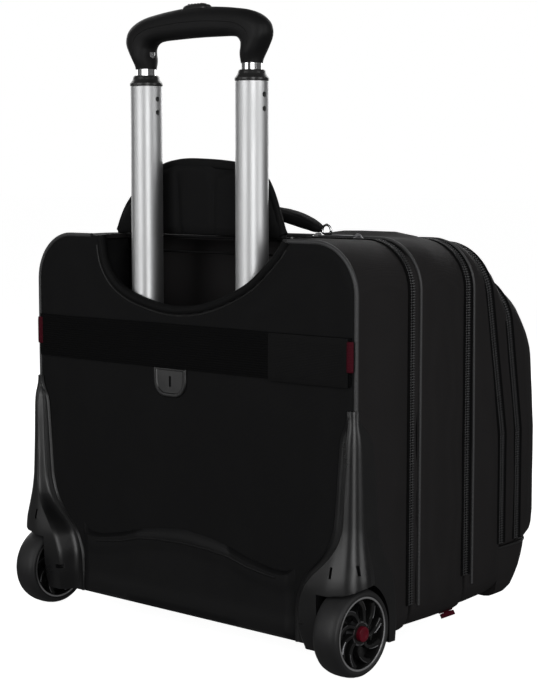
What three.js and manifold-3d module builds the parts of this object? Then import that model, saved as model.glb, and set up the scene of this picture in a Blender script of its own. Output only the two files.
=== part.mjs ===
// A two-wheeled rolling laptop case, standing upright with its pull handle raised one stage.
// Units are millimetres. +Z is up, +Y is the wheel side (rear), -Y is the pocket side (front).
// The origin is on the floor under the middle of the whole object's box.
// "left" is -X and "right" is +X, as seen by someone facing the pockets.

import * as THREE from "three";
import { mergeVertices } from "three/addons/utils/BufferGeometryUtils.js";
import Module from "manifold-3d";

const wasm = await Module();
wasm.setup();

// ---------------------------------------------------------------- driving dimensions

const HALF_WIDTH = 204; // of the rear panel
const REAR_Y = 140.5; // outer face of the rear panel
const FRONT_Y = -174.5; // crown of the pocket lid
const TOP_Z = 381;
const BOTTOM_Z = 22;
const WALL = 4; // padded fabric wall
const GAP = 0.3; // between pieces that touch on the real case
const TOP_CORNER = 46;
const BOTTOM_CORNER = 22;

const WHEEL_RADIUS = 40;
const WHEEL_WIDTH = 28;
const WHEEL_X = 197; // middle of the tread
const WHEEL_Y = REAR_Y - 6;
const HUB_RADIUS = 33;
const WHEEL_WELL_RADIUS = 44.5;

const TUBE_X = 68; // half the spacing of the pull-handle tubes
const TUBE_Y = REAR_Y - 20.6;
const MID_TUBE = { outer: 15.3, inner: 13.9, low: 258, high: 525 };
const INNER_TUBE = { outer: 9.25, inner: 8, low: 268, high: 557 };
const GUIDE_TUBE = { outer: 16.6, inner: 15.7, low: 33.5, high: 296 };

const WELL = { halfWidth: 122, floor: 300, depth: 42.5, skin: 3 };
const SCOOP = { halfWidth: 119, depth: 68 }; // half ellipse cut out of the rear panel's top edge
const KICK = { halfWidth: 139.5, mid: 95, wave: 10, length: 121, thickness: 5 };

// Middle planes of the four zips, from rear to front, and half the gap each one sits in.
const ZIP_Y = { overnight: 56.5, main: -29.5, organiser: -91.5, pocket: -121.5 };
const ZIP_HALF_GAP = 3;
const SEAM_Z = 77; // top of the moulded base under the front pockets
// Towards the top, the organiser and the pockets lean back over the main section.
// Each knee is a depth and how far a point 160 mm above LEAN.from leans there.
const LEAN = {
  from: 190,
  over: 160,
  knees: [[-36, 0], [-88.5, 30], [-94.5, 30], [-118.5, 28], [-124.5, 27], [-174.5, 10]],
};

const ROUND = 20; // segments round a tube
const CORNER_STEPS = 5;

// ---------------------------------------------------------------- solids and outlines

function solidOf(geometry) {
  const bare = geometry.index ? geometry.toNonIndexed() : geometry.clone();
  for (const name of ["normal", "uv"]) bare.deleteAttribute(name);
  const merged = mergeVertices(bare, 1e-3);
  const triVerts = new Uint32Array(merged.index.array);
  const vertProperties = merged.attributes.position.array;
  const made = new wasm.Manifold(new wasm.Mesh({ numProp: 3, vertProperties, triVerts }));
  if (made.volume() > 0) return made;
  for (let i = 0; i < triVerts.length; i += 3)
    [triVerts[i + 1], triVerts[i + 2]] = [triVerts[i + 2], triVerts[i + 1]];
  return new wasm.Manifold(new wasm.Mesh({ numProp: 3, vertProperties, triVerts }));
}

function geometryOf(solid) {
  const mesh = solid.getMesh();
  const position = new Float32Array(mesh.numVert * 3);
  for (let i = 0; i < mesh.numVert; i++)
    position.set(mesh.vertProperties.subarray(i * mesh.numProp, i * mesh.numProp + 3), i * 3);
  return new THREE.BufferGeometry()
    .setAttribute("position", new THREE.BufferAttribute(position, 3))
    .setIndex(new THREE.BufferAttribute(mesh.triVerts, 1));
}

const join = (first, ...rest) => rest.reduce((a, b) => a.add(b), first);
const cut = (first, ...rest) => rest.reduce((a, b) => a.subtract(b), first);

// A block between two corners.
function block([x0, y0, z0], [x1, y1, z1]) {
  const box = new THREE.BoxGeometry(x1 - x0, y1 - y0, z1 - z0);
  return solidOf(box.translate((x0 + x1) / 2, (y0 + y1) / 2, (z0 + z1) / 2));
}

// A prism whose outline lies in the XZ plane, from yHigh towards -Y.
function prismY(outline, yHigh, depth, bevel) {
  const options = bevel
    ? { depth: depth - 2 * bevel, bevelSize: bevel, bevelThickness: bevel, bevelOffset: -bevel, bevelSegments: 3 }
    : { depth, bevelEnabled: false };
  const made = new THREE.ExtrudeGeometry(new THREE.Shape(outline), { ...options, curveSegments: 8 });
  if (bevel) made.translate(0, 0, bevel);
  return solidOf(made.rotateX(Math.PI / 2).translate(0, yHigh, 0));
}

// A prism whose outline lies in the XY plane, upwards from zLow.
function prismZ(outline, zLow, height) {
  const made = new THREE.ExtrudeGeometry(new THREE.Shape(outline), { depth: height, bevelEnabled: false });
  return solidOf(made.translate(0, 0, zLow));
}

// A prism whose outline lies in the YZ plane, from xLow towards +X.
function prismX(outline, xLow, length) {
  const made = new THREE.ExtrudeGeometry(new THREE.Shape(outline), { depth: length, bevelEnabled: false });
  return solidOf(made.rotateX(Math.PI / 2).rotateZ(Math.PI / 2).translate(xLow, 0, 0));
}

const at = (x, y) => new THREE.Vector2(x, y);

// A turned body on the Z axis; its profile is a closed loop of [radius, z].
function turned(profile, segments = ROUND) {
  const points = [...profile, profile[0]].map(([r, z]) => at(r, z));
  return solidOf(new THREE.LatheGeometry(points, segments).rotateX(Math.PI / 2));
}

const rod = (radius, low, high, segments = ROUND) =>
  turned([[0, low], [radius, low], [radius, high], [0, high]], segments);
const pipe = (outer, inner, low, high) =>
  turned([[inner, low], [outer, low], [outer, high], [inner, high]]);

// Points of a quarter circle about (cx, cz), from one angle in quarter turns to the next.
function quarter(cx, cz, radius, turn, steps = CORNER_STEPS) {
  return Array.from({ length: steps + 1 }, (_, i) => {
    const a = (turn + i / steps) * (Math.PI / 2);
    return at(cx + radius * Math.cos(a), cz + radius * Math.sin(a));
  });
}

// The case's cross-section: a rectangle with round corners, counter-clockwise from its lower right.
// Point i and point n - 1 - i are mirror images, and a point at the knee lets the sides bend there.
function section({ half, low, high, top = TOP_CORNER, bottom = BOTTOM_CORNER, knee = LEAN.from }) {
  const right = [
    ...quarter(half - bottom, low + bottom, bottom, 3, 3),
    at(half, knee),
    ...quarter(half - top, high - top, top, 0),
  ];
  return [...right, ...right.map((p) => at(-p.x, p.y)).reverse()];
}

const inset = (s, by) => ({
  half: s.half - by,
  low: s.low + by,
  high: s.high - by,
  top: (s.top ?? TOP_CORNER) - by,
  bottom: Math.max((s.bottom ?? BOTTOM_CORNER) - by, 3),
});

// How far a point leans towards +Y: nothing below LEAN.from, then more with height.
function lean(y, z) {
  const rise = Math.max(z - LEAN.from, 0) / LEAN.over;
  const { knees } = LEAN;
  if (y >= knees[0][0]) return 0;
  const i = knees.findIndex(([k]) => y > k);
  const [[y0, a], [y1, b]] = i > 0 ? [knees[i - 1], knees[i]] : knees.slice(-2);
  const t = Math.min((y - y0) / (y1 - y0), 1);
  return (a + (b - a) * t) * rise;
}

const ringOf = (s) => section(s).map((p) => [p.x, s.y + lean(s.y, p.y), p.y]);

// A closed skin through cross-sections at falling y.
const loftY = (stations) => solidOf(skin(stations.map(ringOf), pairs));

// A closed skin through outlines at rising z, each a list of [x, y].
function loftZ(stations) {
  const rings = stations.map(({ z, outline }) => outline.map(([x, y]) => [x, y, z]));
  return solidOf(skin(rings, (ring) => THREE.ShapeUtils.triangulateShape(ring.map(([x, y]) => at(x, y)), [])));
}

// A cap for a ring whose point i lies across from point n - 1 - i.
function pairs(ring) {
  const n = ring.length;
  return Array.from({ length: n / 2 - 1 }, (_, i) => [
    [i, i + 1, n - 1 - i],
    [i + 1, n - 2 - i, n - 1 - i],
  ]).flat();
}

function skin(rings, capOf) {
  const count = rings[0].length;
  const index = [];
  for (let r = 0; r + 1 < rings.length; r++)
    for (let i = 0; i < count; i++) {
      const [a, b] = [r * count + i, r * count + ((i + 1) % count)];
      index.push(a, b, b + count, a, b + count, a + count);
    }
  const base = (rings.length - 1) * count;
  for (const [a, b, c] of capOf(rings[0])) index.push(c, b, a);
  for (const [a, b, c] of capOf(rings.at(-1))) index.push(base + a, base + b, base + c);
  return new THREE.BufferGeometry()
    .setAttribute("position", new THREE.Float32BufferAttribute(rings.flat(2), 3))
    .setIndex(index);
}

// A tray: an outer skin from its shut end to its rim, and back inside at the wall's thickness.
function tray(stations, openBack = false) {
  const outer = openBack ? stations.toReversed() : stations;
  const inner = outer.map((s) => ({ ...s, ...inset(s, WALL) }));
  inner[0].y += openBack ? WALL : -WALL;
  return solidOf(skin([...outer, ...inner.toReversed()].map(ringOf), pairs));
}

// A U-shaped band that follows a cross-section over the top, from one foot to the other.
function overTopBand({ half, high, top = TOP_CORNER, foot }, sink, thickness, yMid, width) {
  const path = (by) => [
    ...[foot, LEAN.from].map((z) => at(half - by, z)),
    ...quarter(half - top, high - top, top - by, 0),
    ...quarter(-half + top, high - top, top - by, 1),
    ...[LEAN.from, foot].map((z) => at(-half + by, z)),
  ];
  const outline = [...path(sink), ...path(sink + thickness).reverse()];
  const rings = [width / 2, -width / 2].map((by) => outline.map((p) => [p.x, yMid + by + lean(yMid, p.y), p.y]));
  return solidOf(skin(rings, pairs));
}

// ---------------------------------------------------------------- materials

const plain = (color, roughness, metalness = 0) =>
  new THREE.MeshStandardMaterial({ color, roughness, metalness });
const material = {
  fabric: plain(0x1a1a1b, 0.9),
  lining: plain(0x2a2a2c, 0.6),
  webbing: plain(0x111112, 0.85),
  plastic: plain(0x242426, 0.5),
  grip: plain(0x1f1f20, 0.7),
  tyre: plain(0x2c2c2e, 0.6),
  hub: plain(0x151516, 0.35),
  aluminium: plain(0xc9cacc, 0.28, 1),
  chrome: plain(0xe2e2e4, 0.12, 1),
  steel: plain(0x9a9a9c, 0.35, 1),
  zip: plain(0x1c1c1d, 0.55),
  red: plain(0xa5122c, 0.4),
  board: plain(0x3a3a3c, 0.7),
};

const part = (name, solid, look) => {
  const mesh = new THREE.Mesh(geometryOf(solid), look);
  mesh.name = name;
  return mesh;
};

function group(...children) {
  const made = new THREE.Group();
  made.add(...children);
  return made;
}

const sides = [["left", -1], ["right", 1]];

// ---------------------------------------------------------------- rear compartment and back

// The wheel housing's body from below upwards: its inner edge in x and its front edge in y.
const HOUSING = [
  { z: BOTTOM_Z, x: 139.8, y: 83.8 },
  { z: 58, x: 139.8, y: 83.8 },
  { z: 92.7, x: 152, y: 98 },
];
const REAR_SECTION = { half: HALF_WIDTH, low: BOTTOM_Z, high: TOP_Z };

// Room for each wheel housing in the shell.
function housingRoom() {
  const outline = ({ x, y }) => [[x - GAP, y - GAP], [260, y - GAP], [260, 200], [x - GAP, 200]];
  const [low, waist, high] = HOUSING;
  const room = loftZ([
    { z: 0, outline: outline(low) },
    { z: waist.z, outline: outline(waist) },
    { z: high.z + GAP, outline: outline(high) },
  ]);
  return [room, room.mirror([1, 0, 0])];
}

function rearPanel() {
  const scoop = Array.from({ length: 25 }, (_, i) => {
    const a = (i / 24) * Math.PI;
    return at(SCOOP.halfWidth * Math.cos(a), TOP_Z - SCOOP.depth * Math.sin(a));
  });
  const mouth = prismY([...scoop, at(-SCOOP.halfWidth, TOP_Z + 20), at(SCOOP.halfWidth, TOP_Z + 20)], 150, 20);
  return cut(prismY(section(REAR_SECTION), REAR_Y, 3.5), mouth, ...housingRoom());
}

function rearGusset() {
  const back = REAR_Y - 3.5 - GAP;
  const front = ZIP_Y.overnight + ZIP_HALF_GAP;
  const shell = loftY([{ ...REAR_SECTION, y: back }, { ...REAR_SECTION, y: front }]);
  const inside = inset(REAR_SECTION, WALL);
  const hollow = loftY([{ ...inside, y: back + 1 }, { ...inside, y: front - 1 }]);
  const wellFront = REAR_Y - 3.5 - WELL.depth;
  const handleSlot = block([-WELL.halfWidth, wellFront, TOP_Z - 10], [WELL.halfWidth, REAR_Y, TOP_Z + 5]);
  return cut(shell, hollow, handleSlot, ...housingRoom());
}

// A trough for the stowed grip, open at the top and towards the rear panel.
function handleWell() {
  const back = REAR_Y - 3.5 - GAP;
  const { halfWidth, floor, depth, skin: s } = WELL;
  const trough = (half, low) => [
    at(half, TOP_Z - WALL - GAP),
    at(-half, TOP_Z - WALL - GAP),
    ...quarter(-half + 22, low + 22, 22, 2),
    ...quarter(half - 22, low + 22, 22, 3),
  ];
  const outer = prismY(trough(halfWidth + s, floor - s), back, depth + s);
  const inner = prismY(trough(halfWidth, floor), back + 1, depth + 1);
  const above = block([-halfWidth, back - depth, TOP_Z - 20], [halfWidth, back + 5, TOP_Z + 5]);
  const holes = sides.map(([, x]) =>
    rod(GUIDE_TUBE.inner + 0.4, floor - 10, floor + 10).translate([x * TUBE_X, TUBE_Y, 0]));
  return cut(outer, inner, above, ...holes);
}

// The plate that holds both tubes at the floor of the well.
function tubeBezel() {
  const [low, high] = [WELL.floor + GAP, WELL.floor + 2.6];
  const plate = block([-TUBE_X - 24, TUBE_Y - 17.5, low], [TUBE_X + 24, TUBE_Y + 14.8, high]);
  const holes = sides.map(([, x]) =>
    rod(MID_TUBE.outer + 0.3, low - 5, high + 5).translate([x * TUBE_X, TUBE_Y, 0]));
  return cut(plate, ...holes);
}

function kickPlate() {
  const steps = 24;
  const wave = Array.from({ length: steps + 1 }, (_, i) => {
    const x = KICK.halfWidth * (1 - (2 * i) / steps);
    return at(x, KICK.mid + KICK.wave * Math.cos((Math.PI * x) / KICK.length));
  });
  const outline = [at(-KICK.halfWidth, BOTTOM_Z), at(KICK.halfWidth, BOTTOM_Z), ...wave];
  return prismY(outline, REAR_Y + GAP + KICK.thickness, KICK.thickness);
}

// A corner guard that runs down the rear edge and swells into the wheel housing. s is +1 or -1.
function wheelHousing(s) {
  const edge = HALF_WIDTH + GAP;
  const rear = REAR_Y + GAP;
  const out = 212; // outermost face
  // An angle section round the case's rear edge: how far it reaches along the back and the side.
  const angle = (inner, side, bulge) => [
    [edge - inner, rear],
    [edge, rear],
    [edge, REAR_Y - side],
    [edge + bulge * 0.5, REAR_Y - side],
    [edge + bulge, REAR_Y - side * 0.6],
    [edge + bulge, rear + bulge * 0.3],
    [edge + bulge * 0.5, rear + bulge],
    [edge - inner * 0.3, rear + bulge],
    [edge - inner * 0.6, rear + bulge * 0.5],
    [edge - inner, rear + bulge * 0.35],
  ];
  const bulge = out - edge;
  const guard = loftZ([
    { z: HOUSING[2].z - 3, outline: angle(51, 41, bulge) },
    { z: 108, outline: angle(38, 31, bulge) },
    { z: 135, outline: angle(27, 19, bulge) },
    { z: 215, outline: angle(25, 15, bulge * 0.9) },
    { z: 228, outline: angle(14, 9, bulge * 0.6) },
    { z: 236, outline: angle(6, 4, bulge * 0.4) },
  ]);
  const reach = [13, 19, 15]; // behind the rear panel
  const body = loftZ(HOUSING.map(({ x, y, z }, i) => {
    const fender = rear + reach[i];
    return { z, outline: [[x, y], [out, y], [out, fender - 8], [out - 8, fender], [x + 18, fender - 4], [x, rear + 3]] };
  }));
  const [x0, y0] = [HOUSING[0].x, HOUSING[0].y];
  const innerFace = WHEEL_X - WHEEL_WIDTH / 2 - 4;
  const well = rod(WHEEL_WELL_RADIUS, innerFace, out + 20, 32)
    .rotate([0, 90, 0])
    .translate([0, WHEEL_Y, WHEEL_RADIUS]);
  const mouth = block([innerFace, WHEEL_Y, -10], [out + 20, 240, WHEEL_RADIUS + 28]);
  const drop = block([innerFace, WHEEL_Y - WHEEL_WELL_RADIUS, -10], [out + 20, 240, WHEEL_RADIUS]);
  const hollow = block([x0 + 4, y0 - 1, BOTTOM_Z + 4], [innerFace - 8, rear - 2, 58]);
  const bore = rod(4.1, 150, 220).rotate([0, 90, 0]).translate([0, WHEEL_Y, WHEEL_RADIUS]);
  const bossRoom = rod(9, 150, innerFace - 6).rotate([0, 90, 0]).translate([0, WHEEL_Y, WHEEL_RADIUS]);
  const made = cut(join(guard, body), well, mouth, drop, hollow, bore, bossRoom);
  return s > 0 ? made : made.mirror([1, 0, 0]);
}

function wheel(side, s) {
  const half = WHEEL_WIDTH / 2;
  const tyre = turned(
    [[HUB_RADIUS + GAP, -12], [36, -half], [38.2, -10.5], [39.6, -5.5], [WHEEL_RADIUS, 0],
      [39.6, 5.5], [38.2, 10.5], [36, half], [HUB_RADIUS + GAP, 12]], 28);
  const openings = Array.from({ length: 8 }, (_, i) => {
    const a = (i / 8) * 2 * Math.PI;
    return rod(5.2, -20, 20, 6).translate([21.5 * Math.cos(a), 21.5 * Math.sin(a), 0]);
  });
  const rim = turned(
    [[11.3, -12], [14, -12], [14, -4], [29, -4], [29, -12.5], [HUB_RADIUS, -12.5],
      [HUB_RADIUS, 12.5], [29, 12.5], [29, 4], [14, 4], [14, 12], [11.3, 12]], 28);
  const made = group(
    part(`tyre_${side}`, tyre, material.tyre),
    part(`hub_${side}`, cut(rim, ...openings), material.hub),
    part(`bearing_${side}`, pipe(11, 4.4, -11, 11), material.steel),
    part(`hub_cap_${side}`, turned([[0, 12.4], [6.8, 12.4], [6, 15.4], [0, 15.4]], 16), material.red),
  );
  made.rotation.y = (s * Math.PI) / 2;
  made.position.set(s * WHEEL_X, WHEEL_Y, WHEEL_RADIUS);
  return made;
}

// The axle bolt stands out of the housing's inner wall; its head is inside the housing.
function axle(side, s) {
  const head = WHEEL_X - WHEEL_WIDTH / 2 - 4 - 6 - GAP;
  const bolt = join(rod(7, head - 4 - WHEEL_X, head - WHEEL_X, 6), rod(4, head - WHEEL_X, 11.8));
  const made = part(`axle_${side}`, bolt, material.steel);
  made.rotation.y = (s * Math.PI) / 2;
  made.position.set(s * WHEEL_X, WHEEL_Y, WHEEL_RADIUS);
  return made;
}

function luggageStrap() {
  return block([-200, REAR_Y + GAP, 258], [200, REAR_Y + GAP + 2.2, 300]);
}

// A tongue below the strap, set a little to one side of the middle.
function strapTab() {
  const [cx, half, top] = [16, 21, 257.6];
  const outline = [at(cx + half, top), at(cx - half, top), ...quarter(cx - half + 17, 247, 17, 2),
    ...quarter(cx + half - 17, 247, 17, 3)];
  return prismY(outline, REAR_Y + GAP + 3, 3);
}

function rearAssembly() {
  const boardY = REAR_Y - 48.5;
  const footTop = GUIDE_TUBE.low - GAP;
  const low = BOTTOM_Z + WALL + GAP;
  return group(
    part("rear_panel", rearPanel(), material.fabric),
    part("rear_gusset", rearGusset(), material.fabric),
    part("handle_well", handleWell(), material.lining),
    part("tube_bezel", tubeBezel(), material.plastic),
    part("frame_board", block([-137, boardY, low], [137, boardY + 2.5, WELL.floor - 4]), material.board),
    part("tube_foot_bracket", block([-96, TUBE_Y - 17.5, low], [96, TUBE_Y + 14.5, footTop]), material.plastic),
    part("kick_plate", kickPlate(), material.plastic),
    part("luggage_strap", luggageStrap(), material.webbing),
    part("strap_tab", strapTab(), material.plastic),
    ...sides.flatMap(([side, s]) => {
      const guide = part(`guide_tube_${side}`,
        pipe(GUIDE_TUBE.outer, GUIDE_TUBE.inner, GUIDE_TUBE.low, GUIDE_TUBE.high), material.steel);
      guide.position.set(s * TUBE_X, TUBE_Y, 0);
      return [guide, part(`wheel_housing_${side}`, wheelHousing(s), material.plastic), axle(side, s)];
    }),
  );
}

// ---------------------------------------------------------------- pull handle

function middleStage() {
  const bores = [12.6, 25.4].map((below) =>
    rod(2.6, -20, -5, 12).rotate([0, 90, 0]).translate([0, 0, MID_TUBE.high - below]));
  const tube = cut(
    join(pipe(MID_TUBE.outer, MID_TUBE.inner, MID_TUBE.low, MID_TUBE.high),
      rod(MID_TUBE.inner + 0.5, MID_TUBE.low, MID_TUBE.low + 4)),
    ...bores);
  const top = MID_TUBE.high;
  const [bore, neck] = [INNER_TUBE.outer + 0.25, MID_TUBE.inner - 0.25];
  const collar = turned([[bore, top - 28], [neck, top - 28], [neck, top + GAP], [15.8, top + GAP],
    [15.8, top + 3], [13.2, top + 6.5], [12, top + 10], [bore, top + 10]]);
  return group(
    ...sides.flatMap(([side, s]) => {
      const pieces = [part(`mid_tube_${side}`, tube, material.aluminium),
        part(`tube_collar_${side}`, collar, material.plastic)];
      for (const piece of pieces) piece.position.set(s * TUBE_X, TUBE_Y, 0);
      return pieces;
    }),
  );
}

// Half outlines of the grip seen from behind, outer edge then inner edge, mirrored to a whole.
function gripOutline() {
  const outer = [[77.8, 541], [79.5, 549], [84, 557], [86.6, 565], [86, 573], [81, 581], [68, 587.6],
    [44, 592], [17, 595]];
  const inner = [[36, 566.5], [50, 565.5], [56.5, 562], [59.4, 556], [59, 549], [58.2, 541]];
  const mirrored = (list) => list.map(([x, z]) => [-x, z]).reverse();
  return [...outer, ...mirrored(outer), ...mirrored(inner), ...inner].map(([x, z]) => at(x, z));
}

const BUTTON = { half: 16, depth: 6.5, low: 586, high: 598.5 };
const YOKE = { low: 576.2, high: 585.6, half: 71, depth: 3.5, travel: 3.5 };

function grip() {
  const centre = TUBE_Y;
  const body = prismY(gripOutline(), centre + 13, 26, 6);
  const bores = sides.flatMap(([, s]) => [
    rod(INNER_TUBE.outer + GAP, 530, 559.5).translate([s * TUBE_X, centre, 0]),
    rod(4, 558, 575, 12).translate([s * TUBE_X, centre, 0]),
  ]);
  const channel = block([-YOKE.half - 3, centre - YOKE.depth - 0.5, YOKE.low - 4.2],
    [YOKE.half + 3, centre + YOKE.depth + 0.5, YOKE.high + 0.8]);
  const springPocket = block([-4.5, centre - 4.5, YOKE.low - 7], [4.5, centre + 4.5, YOKE.low]);
  const slot = block([-BUTTON.half - 0.5, centre - BUTTON.depth - 0.5, BUTTON.low - YOKE.travel - 0.5],
    [BUTTON.half + 0.5, centre + BUTTON.depth + 0.5, 610]);
  return cut(body, ...bores, channel, springPocket, slot);
}

function button() {
  const { half, depth, low, high } = BUTTON;
  const outline = [at(half, low), at(half, high - 3), at(half - 4, high), at(-half + 4, high),
    at(-half, high - 3), at(-half, low)];
  return prismY(outline, TUBE_Y + depth, 2 * depth);
}

// The bar under the button, with a push rod down each inner tube.
function yoke() {
  const bar = block([-YOKE.half, TUBE_Y - YOKE.depth, YOKE.low], [YOKE.half, TUBE_Y + YOKE.depth, YOKE.high]);
  const rods = sides.map(([, s]) => rod(2.2, 296, YOKE.low + 1, 8).translate([s * TUBE_X, TUBE_Y, 0]));
  return join(bar, ...rods);
}

function innerStage() {
  // The plug at the tube's foot runs inside the middle tube and holds the latch pin.
  const plug = turned([[0, 264], [13.5, 264], [13.5, 280], [9, 280], [9, 282], [0, 282]]);
  const pinBore = rod(2.7, 3.5, 20, 10).rotate([0, 90, 0]).translate([0, 0, 272]);
  const wedgeBore = rod(2.6, 276, 290, 8);
  const wall = pipe(INNER_TUBE.outer, INNER_TUBE.inner, 279, INNER_TUBE.high);
  const pin = rod(2.4, 6.5, 13.4, 10).rotate([0, 90, 0]).translate([0, 0, 272]);
  return group(
    part("grip", grip(), material.grip),
    part("grip_button", button(), material.plastic),
    part("button_yoke", yoke(), material.plastic),
    part("button_spring", pipe(3.4, 2.2, YOKE.low - 6.7, YOKE.low - GAP).translate([0, TUBE_Y, 0]), material.steel),
    ...sides.flatMap(([side, s]) => {
      const tube = part(`inner_tube_${side}`, cut(join(wall, plug), pinBore, wedgeBore), material.chrome);
      const latch = part(`latch_pin_${side}`, pin, material.steel);
      for (const piece of [tube, latch]) piece.position.set(s * TUBE_X, TUBE_Y, 0);
      return [tube, latch];
    }),
  );
}

// ---------------------------------------------------------------- flap over the handle well

// It stands on the front rim of the well, a little towards the right, and folds forward there.
const FLAP = { hinge: TOP_Z + 0.6, x: 12, half: 108, height: 72.4, y: REAR_Y - 38.5, thickness: 7 };

function wellFlap() {
  const power = 2 / 2.3; // a full, round-shouldered tongue
  const outline = Array.from({ length: 25 }, (_, i) => {
    const a = (i / 24) * Math.PI;
    const [c, s] = [Math.cos(a), Math.sin(a)];
    const across = Math.sign(c) * FLAP.half * Math.abs(c) ** power;
    return at(FLAP.x + across, FLAP.hinge + FLAP.height * Math.max(s, 0) ** power);
  });
  return prismY(outline, FLAP.y, FLAP.thickness);
}

// ---------------------------------------------------------------- compartments in front of the first zip

const MID_FRONT = ZIP_Y.main + ZIP_HALF_GAP;
const ORGANISER_BACK = ZIP_Y.main - ZIP_HALF_GAP;

// Every compartment's own bottom runs forward as a thin leaf to the front bottom edge, where it hinges.
const LEAF = { front: -112, half: 160, root: [22, 25.2], mid: [25.6, 28.2], pocket: [77.4, 78.9] };

const midStations = [
  { half: 205, low: LEAF.mid[0], high: 381, y: ZIP_Y.overnight - ZIP_HALF_GAP },
  { half: 206, low: LEAF.mid[0], high: 381, y: 15 },
  { half: 205, low: LEAF.mid[0], high: 379, y: MID_FRONT },
];

const frontStations = [
  { half: 205, low: 28.6, high: 378.5, y: ORGANISER_BACK },
  { half: 205, low: 29.2, high: 378, y: -48 },
  { half: 205, low: 30, high: 378, y: -64 },
  { half: 205, low: 31, high: 377.5, y: -78 },
  { half: 204.5, low: 32, high: 376, y: ZIP_Y.organiser + ZIP_HALF_GAP },
];

const pocketStations = [
  { half: 204, low: LEAF.pocket[0], high: 374.5, bottom: 5, y: ZIP_Y.organiser - ZIP_HALF_GAP },
  { half: 203.5, low: LEAF.pocket[0], high: 366.5, bottom: 5, y: -107 },
  { half: 203, low: LEAF.pocket[0], high: 347, bottom: 5, y: ZIP_Y.pocket + ZIP_HALF_GAP },
];

const LID_LOW = LEAF.pocket[1] + GAP;
const lidStations = [
  { half: 202, low: LID_LOW, high: 341, bottom: 5, y: ZIP_Y.pocket - ZIP_HALF_GAP },
  { half: 201.5, low: LID_LOW, high: 334, bottom: 6, y: -140 },
  { half: 198, low: LID_LOW + 1, high: 310, bottom: 12, y: -157 },
  { half: 188.5, low: 100, high: 274, bottom: 18, y: -168 },
  { half: 170, low: 132, high: 244, bottom: 30, top: 40, y: FRONT_Y },
];

// A padded strap in a low arch, narrower where it meets its rings.
const HANDLE = { y: 30.5, span: 83.5, crown: 412, foot: 391, thickness: 10, halfWide: 15, halfNarrow: 5.5 };

function carryHandle() {
  const { y, span, crown, foot, thickness, halfWide, halfNarrow } = HANDLE;
  const rise = crown - foot;
  const radius = (span * span + rise * rise) / (2 * rise);
  const sweep = Math.asin(span / radius);
  const arc = (r) => Array.from({ length: 17 }, (_, i) => {
    const a = sweep * (1 - i / 8);
    return at(r * Math.sin(a), crown - radius + r * Math.cos(a));
  });
  const arch = prismY([...arc(radius + thickness / 2), ...arc(radius - thickness / 2).reverse()], y + 20, 40);
  const wide = span * 0.62;
  const plan = [at(-span - 5, -halfNarrow), at(-wide, -halfWide), at(wide, -halfWide), at(span + 5, -halfNarrow),
    at(span + 5, halfNarrow), at(wide, halfWide), at(-wide, halfWide), at(-span - 5, halfNarrow)];
  return arch.intersect(prismZ(plan, 370, 80).translate([0, y, 0]));
}

function handleRing(s) {
  const wire = new THREE.TorusGeometry(5.2, 1.3, 6, 16).rotateX(Math.PI / 2);
  return solidOf(wire).translate([s * 91.5, HANDLE.y, 387.6]);
}

// A zip's chain fills part of the gap between two compartments, a little below their skins.
const chain = (zip, half, high, foot) => overTopBand({ half, high, foot }, 1.8, 2.4, zip, 5);

// A slider rides in the gap above the chain on the straight run over the top; its pull lies behind it.
function slider(name, zip, x, high) {
  const body = block([-6, -2.6, high - 1.4], [6, 2.6, high + 2.2]);
  const bridge = block([-3, -1.2, high + 2], [3, 1.2, high + 4.6]);
  const eye = block([-1.6, -2, high + 2.4], [1.6, 2, high + 3.7]);
  const made = part(`zip_slider_${name}`, cut(join(body, bridge), eye), material.steel);
  made.position.set(x, zip + lean(zip, high), 0);
  return made;
}

function zipPull(name, zip, x, high, s) {
  const [low, half] = [high + 2.6, 2.6];
  const tag = block([4, -half, low], [30, half, low + 1.5]);
  const pin = block([-0.45, -half, low], [0.45, half, low + 0.9]);
  const arms = [-half, 1.5].map((y) => block([-0.45, y, low], [5, y + half - 1.5, low + 0.9]));
  const made = part(`zip_pull_${name}`, join(tag, pin, ...arms), material.steel);
  made.rotation.z = s > 0 ? 0 : Math.PI;
  made.position.set(x, zip + lean(zip, high), 0);
  return made;
}

const zipHigh = { overnight: TOP_Z, main: 378, organiser: 373, pocket: 343 };
const sliderX = { overnight: -142, main: 138, organiser: 138, pocket: 134 };

const zipSet = (name, half, foot) => group(
  part(`zip_chain_${name}`, chain(ZIP_Y[name], half, zipHigh[name], foot), material.zip),
  slider(name, ZIP_Y[name], sliderX[name], zipHigh[name]),
  zipPull(name, ZIP_Y[name], sliderX[name], zipHigh[name], -Math.sign(sliderX[name])),
);

// The stiff base under the organiser and pockets, round at its lower front edge.
function pocketBase() {
  const back = ZIP_Y.organiser + ZIP_HALF_GAP - GAP;
  const outline = [at(back, SEAM_Z), at(back, 32), at(-112, 32), at(-134, 34), at(-147, 39), at(-156, 47), at(-162.5, 57),
    at(-166.5, 67), at(-168.5, SEAM_Z)];
  const plan = section({ half: 203, low: FRONT_Y - 60, high: FRONT_Y + 200, top: 20, bottom: 60, knee: 0 });
  return prismX(outline, -203, 406).intersect(prismZ(plan, 0, 200).translate([0, 60 - 0.1, 0]));
}

function foot(s) {
  const top = LEAF.root[0] - GAP;
  return turned([[0, 0], [12, 0], [14, 3], [12, top], [0, top]], 20).translate([s * 112, -84, 0]);
}

const leaf = (back, front, [low, high]) => block([-LEAF.half, front, low], [LEAF.half, back, high]);

const bottomPanel = () => group(
  part("bottom_panel", leaf(ZIP_Y.overnight + ZIP_HALF_GAP - GAP, LEAF.front, LEAF.root), material.fabric),
  ...sides.map(([side, s]) => part(`front_foot_${side}`, foot(s), material.plastic)),
);

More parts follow.
